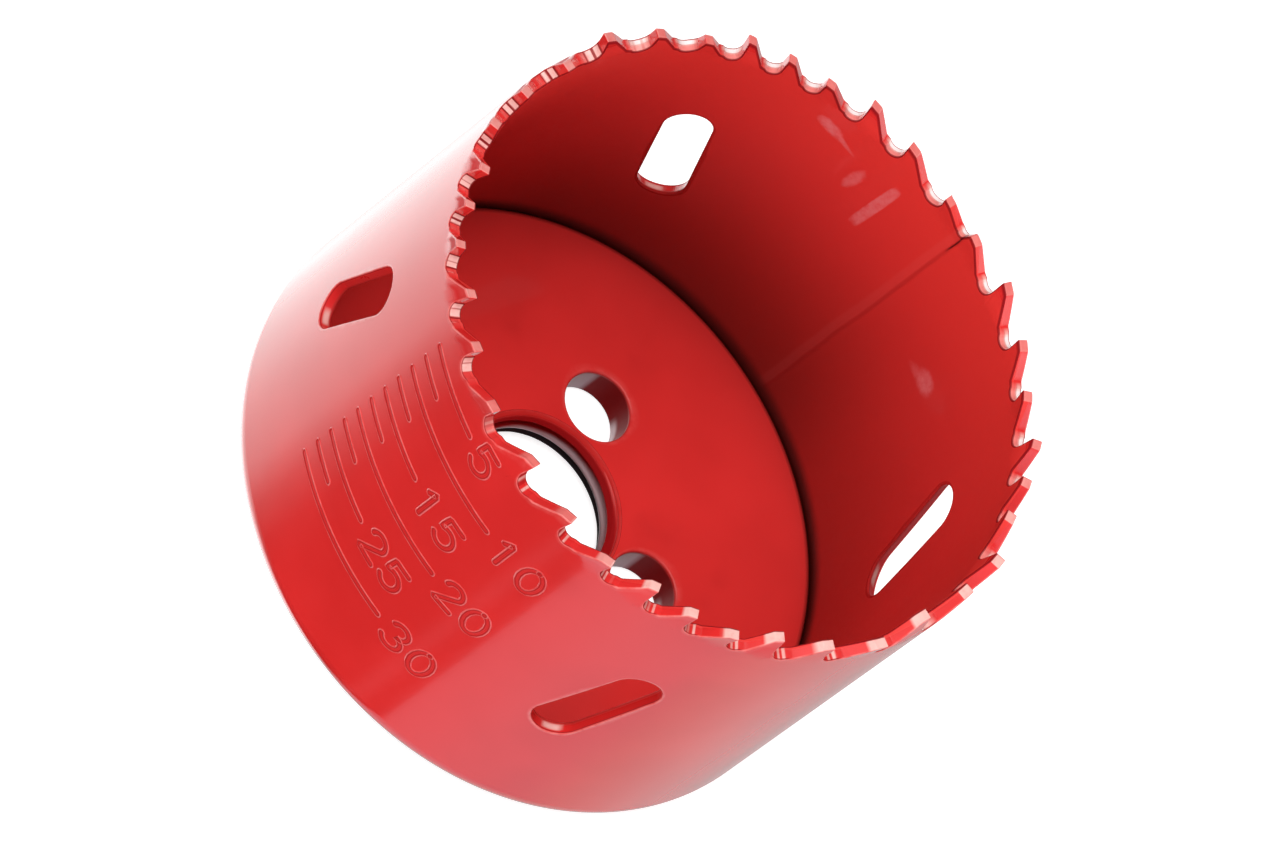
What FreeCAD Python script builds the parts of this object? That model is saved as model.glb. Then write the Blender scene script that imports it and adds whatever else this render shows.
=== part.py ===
import FreeCAD, Part
import math
import os

# Hole saw: a steel strip with a toothed high speed steel edge, rolled into a ring,
# welded end to end along one seam and closed at the back by a threaded plate.
# The origin is the centre of the plate's back face, and the teeth point up, along +Z.

# Driving dimensions of the saw, in millimetres and degrees
cutting_diameter = 64.0
cutting_depth = 38.9
wall_thickness = 1.3

# Teeth
pitch_pattern = [6.2, 5.4, 5.1, 4.5, 4.5, 5.0, 5.5, 6.0, 6.2]
set_pattern = [-1, 0, 1]
tooth_height = 2.7
tooth_set = 0.5
side_relief = 0.1
rake_angle = 8.0
land_angle = 12.0
land_share = 0.2
gullet_share = 0.19
gullet_end_angle = 45.0
shoulder_share = 0.11
shoulder_angle = 12.0
bend_above_gullet = 0.15
edge_strip_below_gullets = 1.6

# Seam where the two ends of the strip meet
seam_angle = 45.0
last_pitch = 5.46
seam_pitch = 4.52
seam_to_first_tip = 4.14
seam_gullet_depth = 1.4
seam_gullet_radius = 0.5
seam_rake_angle = -22.0
seam_groove_width = 0.5
seam_groove_depth = 0.15
seam_edge_drop = 0.6
drop_reach_before = 45.0
drop_reach_after = 15.0

# Slots for pushing out the core; punched by eye, so each has its own angle, and its
# middle its own height above the plate
slot_angles = [-0.2, 91.1, 180.7, 269.9]
slot_heights = [18.6, 18.1, 19.0, 18.8]
slot_length = 14.75
slot_width = 4.8
slot_tilt = 17.0

# Back plate with the arbor thread and the drive pin holes
plate_thickness = 4.0
plate_edge_chamfer = 0.25
bore_diameter = 16.2
bore_front_chamfer = 1.0
bore_back_chamfer = 0.8
pin_hole_count = 4
pin_circle_diameter = 26.4
pin_hole_diameter = 7.2
pin_hole_chamfer = 0.3
pin_hole_turn = 69.5

# Rounded weld that joins the rear end of the wall to the plate
rear_weld_radius = 2.9
rear_weld_bevels = 4

# Cutters reach this far past the faces that they cut, and the tooth cutters this
# far along and above the tips of a blank that stands a little higher than the teeth
overcut = 1.0
tip_overrun = 0.4
blank_headroom = 0.5
cutter_headroom = 1.5

# Sizes that follow from the ones above
outer_radius = cutting_diameter / 2 - tooth_set + side_relief
inner_radius = outer_radius - wall_thickness
plate_face_height = plate_thickness
tip_height = plate_face_height + cutting_depth
gullet_height = tip_height - tooth_height
edge_strip_height = gullet_height - edge_strip_below_gullets
bend_height = gullet_height + bend_above_gullet
blank_height = tip_height + blank_headroom
weld_chamfer = rear_weld_radius - wall_thickness


def degrees_along(length):
    return math.degrees(length / outer_radius)


def about_axis(shape, angle):
    turned = shape.copy()
    turned.rotate(FreeCAD.Vector(0, 0, 0), FreeCAD.Vector(0, 0, 1), angle)
    return turned


def around_axis(shape, count, first_angle):
    return [about_axis(shape, first_angle + index * 360.0 / count) for index in range(count)]


def ring_from_outline(outline, angle=360.0):
    # outline: closed list of (radius, height) corners, turned about the saw's axis
    corners = [FreeCAD.Vector(radius, 0, height) for radius, height in outline]
    face = Part.Face(Part.makePolygon(corners + corners[:1]))
    return face.revolve(FreeCAD.Vector(0, 0, 0), FreeCAD.Vector(0, 0, 1), angle)


def tooth_layout():
    # one (angle of the tip, pitch to the next tip, side of the set) for each tooth;
    # the strip is cut to length, so its last tooth stands closer than the pattern says
    room = 2 * math.pi * outer_radius - last_pitch - seam_pitch
    pitches = []
    while sum(pitches) < room - min(pitch_pattern) / 2:
        pitches.append(pitch_pattern[len(pitches) % len(pitch_pattern)])
    fit = room / sum(pitches)
    pitches = [pitch * fit for pitch in pitches] + [last_pitch, seam_pitch]
    angle = seam_angle + degrees_along(seam_to_first_tip)
    teeth = []
    for index, pitch in enumerate(pitches):
        teeth.append((angle, pitch, set_pattern[index % len(set_pattern)]))
        angle += degrees_along(pitch)
    return teeth


def edge_drop(angle):
    # the ends of the strip dip where they meet, further on the side before the seam
    after = (angle - seam_angle) % 360.0
    before = 360.0 - after
    dip = max(1 - before / drop_reach_before, 1 - after / drop_reach_after, 0)
    return seam_edge_drop * dip


def gullet_centre(depth, radius, rake):
    # centre of the arc that touches the rake face and the gullet's floor,
    # as (distance past the tip, height above the tip)
    height = radius - depth
    lean = math.radians(rake)
    return (radius + height * math.sin(lean)) / math.cos(lean), height


def gullet_cutter(tip_angle, pitch, depth, radius, rake):
    # all that is ground away between one tip and the next: rake face, round gullet,
    # shoulder, flank and the land behind the next tip
    centre_along, centre_up = gullet_centre(depth, radius, rake)
    lean = math.radians(rake)
    end = math.radians(gullet_end_angle)
    rise = math.radians(shoulder_angle)
    shoulder = shoulder_share * pitch
    land = land_share * pitch
    land_slope = math.tan(math.radians(land_angle))
    base = tip_height - edge_drop(tip_angle)
    start_radius = inner_radius - overcut - tooth_set

    def point(along, up):
        return FreeCAD.Vector(start_radius, along - pitch / 2, base + up)

    rake_top = point(cutter_headroom * math.tan(lean), cutter_headroom)
    rake_foot = point(centre_along - radius * math.cos(lean), centre_up + radius * math.sin(lean))
    floor = point(centre_along, -depth)
    cusp_along = centre_along + radius * math.sin(end)
    cusp_up = centre_up - radius * math.cos(end)
    cusp = point(cusp_along, cusp_up)
    flank_foot = point(cusp_along + shoulder * math.cos(rise), cusp_up + shoulder * math.sin(rise))
    land_foot = point(pitch - land, -land * land_slope)
    land_end = point(pitch + tip_overrun, tip_overrun * land_slope)
    far_top = point(pitch + tip_overrun, cutter_headroom)

    edges = [Part.LineSegment(rake_top, rake_foot).toShape(), Part.Arc(rake_foot, floor, cusp).toShape()]
    corners = [cusp, flank_foot, land_foot, land_end, far_top, rake_top]
    for first, second in zip(corners, corners[1:]):
        edges.append(Part.LineSegment(first, second).toShape())
    face = Part.Face(Part.Wire(edges))
    reach = wall_thickness + 2 * (overcut + tooth_set)
    cutter = face.extrude(FreeCAD.Vector(reach, 0, 0))
    return about_axis(cutter, tip_angle + degrees_along(pitch / 2))


def tooth_blank(start_angle, end_angle, side):
    # sector of the edge strip whose top is bent outward, inward or not at all
    growth = (blank_height - bend_height) / (tip_height - bend_height)
    outer_top = outer_radius + (side * tooth_set - side_relief) * growth
    inner_top = inner_radius + (side * tooth_set + side_relief) * growth
    outline = [
        (inner_radius, edge_strip_height),
        (outer_radius, edge_strip_height),
        (outer_radius, bend_height),
        (outer_top, blank_height),
        (inner_top, blank_height),
        (inner_radius, bend_height),
    ]
    return about_axis(ring_from_outline(outline, end_angle - start_angle), start_angle)


def seam_grooves(bottom, top):
    # shallow V along the weld, inside and outside; its cutter stands as far out of the
    # surface as it goes in, where it is twice as wide
    grooves = []
    for radius, direction in ((inner_radius, 1), (outer_radius, -1)):
        lip = radius - direction * seam_groove_depth
        root = radius + direction * seam_groove_depth
        corners = [
            FreeCAD.Vector(lip, -seam_groove_width, bottom),
            FreeCAD.Vector(root, 0, bottom),
            FreeCAD.Vector(lip, seam_groove_width, bottom),
        ]
        face = Part.Face(Part.makePolygon(corners + corners[:1]))
        grooves.append(about_axis(face.extrude(FreeCAD.Vector(0, 0, top - bottom)), seam_angle))
    return grooves


def tooth_edge():
    teeth = tooth_layout()
    depths = [tooth_height] * (len(teeth) - 1) + [seam_gullet_depth]
    radii = [gullet_share * pitch for angle, pitch, side in teeth[:-1]] + [seam_gullet_radius]
    rakes = [rake_angle] * (len(teeth) - 1) + [seam_rake_angle]
    cutters = []
    floors = []
    for (angle, pitch, side), depth, radius, rake in zip(teeth, depths, radii, rakes):
        cutters.append(gullet_cutter(angle, pitch, depth, radius, rake))
        floors.append(angle + degrees_along(gullet_centre(depth, radius, rake)[0]))
    sectors = []
    for index, (angle, pitch, side) in enumerate(teeth):
        start = floors[index - 1] - (360.0 if index == 0 else 0.0)
        blank = tooth_blank(start, floors[index], side)
        sectors.append(blank.cut([cutters[index - 1], cutters[index]]))
    ring = sectors[0].multiFuse(sectors[1:]).removeSplitter()
    return ring.cut(seam_grooves(edge_strip_height - overcut, blank_height))


def slot_cutter(angle, height_above_plate):
    # slanted slot with round ends, through the wall
    half_width = slot_width / 2
    half_run = slot_length / 2 - half_width
    start_radius = inner_radius - overcut
    centre = FreeCAD.Vector(start_radius, 0, plate_face_height + height_above_plate)

    def point(across, along):
        return centre + FreeCAD.Vector(0, across, along)

    edges = [
        Part.LineSegment(point(half_width, -half_run), point(half_width, half_run)).toShape(),
        Part.Arc(point(half_width, half_run), point(0, half_run + half_width),
                 point(-half_width, half_run)).toShape(),
        Part.LineSegment(point(-half_width, half_run), point(-half_width, -half_run)).toShape(),
        Part.Arc(point(-half_width, -half_run), point(0, -half_run - half_width),
                 point(half_width, -half_run)).toShape(),
    ]
    cutter = Part.Face(Part.Wire(edges)).extrude(FreeCAD.Vector(wall_thickness + 2 * overcut, 0, 0))
    cutter.rotate(centre, FreeCAD.Vector(1, 0, 0), -slot_tilt)
    return about_axis(cutter, angle)


def wall_strip():
    wall = ring_from_outline([
        (inner_radius, rear_weld_radius),
        (outer_radius, rear_weld_radius),
        (outer_radius, edge_strip_height),
        (inner_radius, edge_strip_height),
    ])
    slots = [slot_cutter(angle, height) for angle, height in zip(slot_angles, slot_heights)]
    return wall.cut(slots + seam_grooves(plate_face_height, edge_strip_height + overcut))


def hole_cutter(radius, front_chamfer, back_chamfer):
    # round hole through the plate with a chamfer at each face
    front = plate_face_height
    return ring_from_outline([
        (0, -overcut),
        (radius + back_chamfer + overcut, -overcut),
        (radius + back_chamfer, 0),
        (radius, back_chamfer),
        (radius, front - front_chamfer),
        (radius + front_chamfer, front),
        (radius + front_chamfer + overcut, front + overcut),
        (0, front + overcut),
    ])


def back_plate():
    plate = ring_from_outline([
        (0, 0),
        (inner_radius - weld_chamfer, 0),
        (inner_radius, weld_chamfer),
        (inner_radius, plate_face_height - plate_edge_chamfer),
        (inner_radius - plate_edge_chamfer, plate_face_height),
        (0, plate_face_height),
    ])
    bore = hole_cutter(bore_diameter / 2, bore_front_chamfer, bore_back_chamfer)
    pin_hole = hole_cutter(pin_hole_diameter / 2, pin_hole_chamfer, pin_hole_chamfer)
    pin_hole.translate(FreeCAD.Vector(pin_circle_diameter / 2, 0, 0))
    return plate.cut([bore] + around_axis(pin_hole, pin_hole_count, pin_hole_turn))


def rear_weld():
    # bead between the wall's end and the plate's chamfer; its outside is a row of narrow
    # bevels whose corners lie on the arc from the wall's outside to the plate's back
    outline = [
        (inner_radius - weld_chamfer, 0),
        (inner_radius, weld_chamfer),
        (inner_radius, rear_weld_radius),
    ]
    for index in range(rear_weld_bevels):
        turn = math.radians(90.0 * index / rear_weld_bevels)
        outline.append((
            outer_radius - rear_weld_radius * (1 - math.cos(turn)),
            rear_weld_radius * (1 - math.sin(turn)),
        ))
    return ring_from_outline(outline)


pieces = {
    "wall_strip": wall_strip(),
    "tooth_edge": tooth_edge(),
    "back_plate": back_plate(),
    "rear_weld": rear_weld(),
}

os.makedirs("parts", exist_ok=True)
for name, shape in pieces.items():
    shape.exportStep("parts/" + name + ".step")
    print(name, "solids", len(shape.Solids), "valid", shape.isValid(), "volume", round(shape.Volume, 1))
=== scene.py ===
import bpy
import math
import numpy as np
from mathutils import Matrix, Vector


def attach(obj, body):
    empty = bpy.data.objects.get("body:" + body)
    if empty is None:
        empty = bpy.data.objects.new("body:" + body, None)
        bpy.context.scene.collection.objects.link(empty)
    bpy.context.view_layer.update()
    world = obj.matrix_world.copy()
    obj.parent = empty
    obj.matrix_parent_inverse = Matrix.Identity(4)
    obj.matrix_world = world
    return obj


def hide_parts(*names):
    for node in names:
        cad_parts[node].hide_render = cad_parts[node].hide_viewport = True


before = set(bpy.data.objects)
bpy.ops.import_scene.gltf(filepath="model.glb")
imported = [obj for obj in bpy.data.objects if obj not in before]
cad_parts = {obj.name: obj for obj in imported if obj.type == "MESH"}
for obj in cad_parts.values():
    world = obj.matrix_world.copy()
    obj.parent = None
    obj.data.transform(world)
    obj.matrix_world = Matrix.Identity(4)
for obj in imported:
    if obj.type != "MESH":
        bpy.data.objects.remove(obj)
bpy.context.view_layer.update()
mm = 0.001
print("frame loaded:", sorted(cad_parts))


# Sizes shared by the pieces: lengths in mm, angles in degrees about the axis, heights over
# the rear face
saw = {
    "outerRadius": 31.6,
    "innerRadius": 30.3,
    "plateFace": 4.0,
    "tipHeight": 42.9,
    "seamAngle": 45.0,
    "stripTop": 38.6,
    "weldHeight": 2.9,
    "sharpFrom": 38.0,
}


# mesh helpers
# One mesh from several grids of points. Each grid is rows x columns of places, with three
# masks per point where it needs them: pale edge (thin paint and painted highlight), ground
# steel with painted highlights, reflections and glints (on the plate, the corner's painted
# shade), and dark, which is painted shade, or depth.
# Neighbours make four-sided faces, points in one cell of the welding distance (in metres)
# are merged, and faces that shrink to a line are dropped.
def weldGrids(name, grids, welded=1e-6):
    points, faces, masks, first = [], [], [], 0
    for grid in grids:
        places = grid["places"]
        rows, columns = places.shape[:2]
        index = first + np.arange(rows * columns).reshape(rows, columns)
        if grid.get("closed"):
            index = np.concatenate([index, index[:, :1]], axis=1)
        quads = np.stack([index[:-1, :-1], index[:-1, 1:], index[1:, 1:], index[1:, :-1]], axis=-1)
        quads = quads.reshape(-1, 4)
        faces.append(quads[:, ::-1] if grid.get("flip") else quads)
        points.append(places.reshape(-1, 3))
        masks.append(grid.get("masks", np.zeros(places.shape)).reshape(-1, 3))
        first += rows * columns
    points, faces, masks = np.concatenate(points), np.concatenate(faces), np.concatenate(masks)
    # round sizes lie on the cells' borders, so the cells are shifted a little
    cellShift = 0.37
    keys = np.floor(points * mm / welded + cellShift).astype(np.int64)
    firstSeen, same = np.unique(keys, axis=0, return_index=True, return_inverse=True)[1:]
    faces = same.reshape(-1)[faces]
    repeats = (np.diff(np.sort(faces, axis=1), axis=1) == 0).sum(axis=1)
    quads, thin = faces[repeats == 0], faces[repeats == 1]
    triangles = thin[thin != np.roll(thin, 1, axis=1)].reshape(-1, 3)
    places, masks = points[firstSeen] * mm, masks[firstSeen]
    mesh = bpy.data.meshes.new(name)
    loops = np.concatenate([quads.reshape(-1), triangles.reshape(-1)])
    sizes = np.concatenate([np.full(len(quads), 4), np.full(len(triangles), 3)])
    mesh.vertices.add(len(places))
    mesh.vertices.foreach_set("co", places.astype(np.float32).reshape(-1))
    mesh.loops.add(len(loops))
    mesh.loops.foreach_set("vertex_index", loops.astype(np.int32))
    mesh.polygons.add(len(sizes))
    mesh.polygons.foreach_set("loop_start", (np.cumsum(sizes) - sizes).astype(np.int32))
    mesh.update(calc_edges=True)
    mesh.validate()
    for number, label in enumerate(("edgeMask", "wearAndLightMask", "depthMask")):
        layer = mesh.attributes.new(label, "FLOAT", "POINT")
        layer.data.foreach_set("value", masks[:, number].astype(np.float32))
    mesh.shade_smooth()
    mesh.set_sharp_from_angle(angle=math.radians(saw["sharpFrom"]))
    piece = bpy.data.objects.new(name, mesh)
    bpy.context.scene.collection.objects.link(piece)
    print(name, "points", len(places), "faces", len(sizes))
    return piece


# One property of all vertices, loops or faces, a row for each.
def readRows(collection, label, width, kind=np.float32):
    values = np.empty(len(collection) * width, kind)
    collection.foreach_get(label, values)
    return values.reshape(-1, width)


# Corner normals straight out from the axis, or in, wherever a face lies on one of the
# wall's two cylinders, so that uneven faces don't ripple the gloss.
def trueCylinderNormals(piece):
    mesh = piece.data
    corner = readRows(mesh.loops, "vertex_index", 1, np.int32)[:, 0]
    sizes = readRows(mesh.polygons, "loop_total", 1, np.int32)[:, 0]
    faceNormals = np.repeat(readRows(mesh.polygons, "normal", 3), sizes, axis=0)
    normals = readRows(mesh.corner_normals, "vector", 3)
    flat = readRows(mesh.vertices, "co", 3)[corner, :2]
    radius = np.linalg.norm(flat, axis=1)
    outward = np.concatenate([flat / radius[:, None], np.zeros((len(corner), 1), np.float32)], axis=1)
    facing = (outward * faceNormals).sum(axis=1)
    closeTo, square = 4e-6, 0.995
    onOuter = (np.abs(radius - saw["outerRadius"] * mm) < closeTo) & (facing > square)
    onInner = (np.abs(radius - saw["innerRadius"] * mm) < closeTo) & (facing < -square)
    normals[onOuter] = outward[onOuter]
    normals[onInner] = -outward[onInner]
    mesh.normals_split_custom_set(normals.tolist())


# Quarter turn of an edge, as drops below the edge and steps in from the side: radius times
# one minus sine and one minus cosine, from the side's surface to the top's.
def roundedRow(radius, steps):
    turn = np.linspace(0, np.pi / 2, steps)
    return radius * (1 - np.sin(turn)), radius * (1 - np.cos(turn))


# Places from angles in degrees, radii and heights: radius times cosine and sine, height.
def onCylinder(angle, radius, height):
    turn = np.radians(angle)
    return np.stack([radius * np.cos(turn), radius * np.sin(turn), height + 0 * turn], axis=-1)


# The three masks of a row of points, each given as a value or an array.
def maskRow(edge, ground, dark, like):
    return np.stack([edge + 0 * like, ground + 0 * like, dark + 0 * like], axis=-1)


# 0 below low, 1 above high, and three squares less two cubes of the share between.
def smoothStep(value, low, high):
    share = np.clip((value - low) / (high - low), 0, 1)
    return share * share * (3 - 2 * share)


# toothed edge
teeth = {
    "pitchPattern": [6.2, 5.4, 5.1, 4.5, 4.5, 5.0, 5.5, 6.0, 6.2],
    "setPattern": [-1, 0, 1],
    "height": 2.7,
    "set": 0.5,
    "relief": 0.1,
    "rake": 8.0,
    "landAngle": 12.0,
    "landShare": 0.2,
    "gulletShare": 0.19,
    "gulletEnd": 45.0,
    "shoulderShare": 0.11,
    "shoulderAngle": 12.0,
    "bendAboveGullet": 0.15,
    # the bend's own share of the set, which grows evenly above it
    "bendEase": 0.06,
    "lastPitch": 5.46,
    "seamPitch": 4.52,
    "seamToFirstTip": 4.14,
    "seamGulletDepth": 1.4,
    "seamGulletRadius": 0.5,
    "seamRake": -22.0,
    "seamDrop": 0.6,
    "dropBefore": 45.0,
    "dropAfter": 15.0,
    "paintRound": 0.1,
    # how far the rim line's corners are rounded: tips, most corners, gullets' ends, lands' starts
    "tipRound": 0.13,
    "cornerRound": 0.1,
    "ridgeRound": 0.05,
    "landRound": 0.12,
    # feet of the sections on the strip: how far behind the rake face's foot they start, how
    # far they run from there, and the gap to the next tooth's
    "footBehind": 0.02,
    "footRun": 0.75,
    "footGap": 0.4,
}

# Wear round the rim, with painted highlights, painted reflections and painted shade that
# change with the turn about the saw. A turn is in degrees, and arc runs over a gullet from
# 0 at the rake face to 1 at the ridge.
wear = {
    "seed": 7,
    # middle turn of the far and the near part, and the cosines from there they fade between
    "far": (40, -0.1, 0.35),
    "near": (262, 0.55, 0.8),
    # stations between which a gullet's wear begins, and those from its end where it stops
    "gulletFrom": (1.2, 2.0),
    "gulletTo": (2.6, 2.0),
    # left: three dark lines of painted shade over each gullet with pale bands of painted
    # reflection between them. The first line is (start, end), and the others are (start,
    # scatter, width)
    "firstLine": (0.10, 0.15),
    "middleLine": (0.39, 0.05, 0.06),
    "endLine": (0.66, 0.06, 0.05),
    "lineSoft": 0.02,
    "paleFrom": 0.17,
    "paleLeast": 0.06,
    "paleInLine": 0.95,
    "lineDark": 0.9,
    # far: the whole gullet is pale as painted reflection, and brighter still over a band, as
    # (start, end, softness)
    "farPale": 0.55,
    "farMore": 1.1,
    "farBand": (0.2, 0.95, 0.15),
    # near: two streaks of painted reflection, as (start, end, scatter), painted glints at the
    # ridge, and a first half darkened as painted shade
    "streak": 0.8,
    "streaks": [(0.34, 0.46, 0.08), (0.62, 0.70, 0.06)],
    "glintTurns": (246, 268),
    "glintArcs": (0.82, 0.86, 0.96, 1.0),
    "nearDark": 0.45,
    "nearDarkTo": (0.5, 0.6),
    # how pale the lands are by turn, as bare steel and painted highlight, and how much
    # longer the painted highlight makes them on the near side
    "landTurns": [0, 30, 110, 130, 190, 215, 236, 246, 325, 350, 360],
    "landPale": [0.4, 0.35, 0.35, 0.6, 0.55, 0.3, 0.3, 1.0, 1.0, 0.5, 0.4],
    "landLonger": 0.20,
    "landScatter": 0.3,
    # the dark outlines of the gullets outside and inside, which are painted shade, and the
    # rows beside the rounded edge: pale outside as painted highlight, dark inside as painted shade
    "gulletOutline": 0.85,
    "besideOuter": 0.25,
    "besideInner": 0.6,
    "innerBare": 0.3,
    # on the far side the painted reflection fades over the thickness, behind a dark line of
    # painted shade
    "crescentFade": 0.75,
    "crescentLine": 0.35,
    # the outward faces of the teeth on the left are duller than the wall, and a little darker
    # as painted shade
    "dull": 0.22,
    "dullTurns": (95, 115, 205, 225),
    "dullUp": (0.5, 1.8),
}


# Angle of each tip, pitch to the next one and side of the set.
def toothPlan():
    room = 2 * np.pi * saw["outerRadius"] - teeth["lastPitch"] - teeth["seamPitch"]
    pattern = teeth["pitchPattern"]
    pitches = []
    while sum(pitches) < room - min(pattern) / 2:
        pitches.append(pattern[len(pitches) % len(pattern)])
    pitches = np.array(pitches) * room / sum(pitches)
    pitches = np.append(pitches, [teeth["lastPitch"], teeth["seamPitch"]])
    toDegrees = 180 / np.pi / saw["outerRadius"]
    start = saw["seamAngle"] + teeth["seamToFirstTip"] * toDegrees
    angles = start + np.concatenate([[0], np.cumsum(pitches[:-1])]) * toDegrees
    sides = np.array([teeth["setPattern"][k % 3] for k in range(len(pitches))])
    return angles, pitches, sides


# How far the rim dips: straight down toward the seam and straight up again behind it.
def rimDrop(angles):
    after = (angles - saw["seamAngle"]) % 360
    dip = np.maximum(1 - (360 - after) / teeth["dropBefore"], 1 - after / teeth["dropAfter"])
    return teeth["seamDrop"] * np.maximum(dip, 0)


# Rounds each corner of an open line: the corner becomes a parabola from a point
# reach before it to a point reach after it.
def softened(corners, reach, steps):
    before, after = corners[:-2] - corners[1:-1], corners[2:] - corners[1:-1]
    lengthBefore = np.linalg.norm(before, axis=1, keepdims=True)
    lengthAfter = np.linalg.norm(after, axis=1, keepdims=True)
    reach = reach[:, None]
    start = corners[1:-1] + before / lengthBefore * np.minimum(reach, lengthBefore * 0.45)
    end = corners[1:-1] + after / lengthAfter * np.minimum(reach, lengthAfter * 0.45)
    share = np.linspace(0, 1, steps)[None, :, None]
    middle = corners[1:-1][:, None, :]
    return (1 - share) ** 2 * start[:, None] + 2 * share * (1 - share) * middle + share ** 2 * end[:, None]


# Wear and painted light of every tooth along its outline, by station: pale ground steel
# and painted highlight on the land, and bands of painted reflection across the gullet,
# with dark lines of painted shade between the bands. Which part of a gullet is pale
# changes round the saw, as a reflection would: all of it on the far side, the bands on the
# left, streaks and glints at the ridge on the near side, with painted shade over its first
# half there. Returns the pale share, how far it fades toward the inside, and the dark share.
def toothWearAndLight(station, angles, perTooth):
    random = np.random.default_rng(wear["seed"])
    jitter = random.uniform(-1, 1, (len(angles), 6))
    shift = [jitter[:, number, None] for number in range(6)]
    station = station[None] + 0 * angles[:, None]
    arc = np.clip((station - 1) / 10, 0, 1)
    turn = angles[:, None] % 360

    def part(middle, low, high):
        return smoothStep(np.cos(np.radians(turn - middle)), low, high)

    def band(first, last, soft=0.03):
        return smoothStep(arc, first - soft, first + soft) * (1 - smoothStep(arc, last - soft, last + soft))

    far, near = part(*wear["far"]), part(*wear["near"])
    left = np.clip(1 - far - near, 0, 1)
    stopFrom, stopTo = wear["gulletTo"]
    inGullet = smoothStep(station, *wear["gulletFrom"])
    inGullet = inGullet * (1 - smoothStep(station, perTooth - stopFrom, perTooth - stopTo))
    soft = wear["lineSoft"]
    lines = band(*wear["firstLine"], soft)
    for number, label in enumerate(("middleLine", "endLine")):
        start, scatter, width = wear[label]
        start = start + scatter * shift[number]
        lines = lines + band(start, start + width, soft)
    leftPale = band(wear["paleFrom"], start, soft) * (1 - wear["paleInLine"] * lines) + wear["paleLeast"]
    farPale = wear["farPale"] + wear["farMore"] * band(*wear["farBand"])
    nearPale = 0
    for number, (first, last, scatter) in enumerate(wear["streaks"]):
        move = scatter * shift[4 + number]
        nearPale = nearPale + wear["streak"] * band(first + move, last + move)
    glintFrom, glintFull, glintFades, glintEnds = wear["glintArcs"]
    glints = smoothStep(turn, *wear["glintTurns"]) * smoothStep(arc, glintFrom, glintFull)
    glints = glints * (1 - smoothStep(arc, glintFades, glintEnds))
    nearPale = np.clip(nearPale + glints, 0, 1)
    pale = inGullet * (left * leftPale + far * farPale + near * nearPale)
    landFrom = perTooth - 1 - wear["landLonger"] * near * (1 + wear["landScatter"] * shift[0])
    land = smoothStep(station, landFrom, landFrom + 0.03)
    land = np.where(station < 0.15, 1.0, land)
    land = land * np.interp(turn, wear["landTurns"], wear["landPale"])
    nearDark = wear["nearDark"] * (1 - smoothStep(arc, *wear["nearDarkTo"])) * (1 - nearPale)
    dark = inGullet * (left * lines * wear["lineDark"] + near * nearDark)
    return np.maximum(land, pale), far * inGullet, np.clip(dark, 0, 1)


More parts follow.
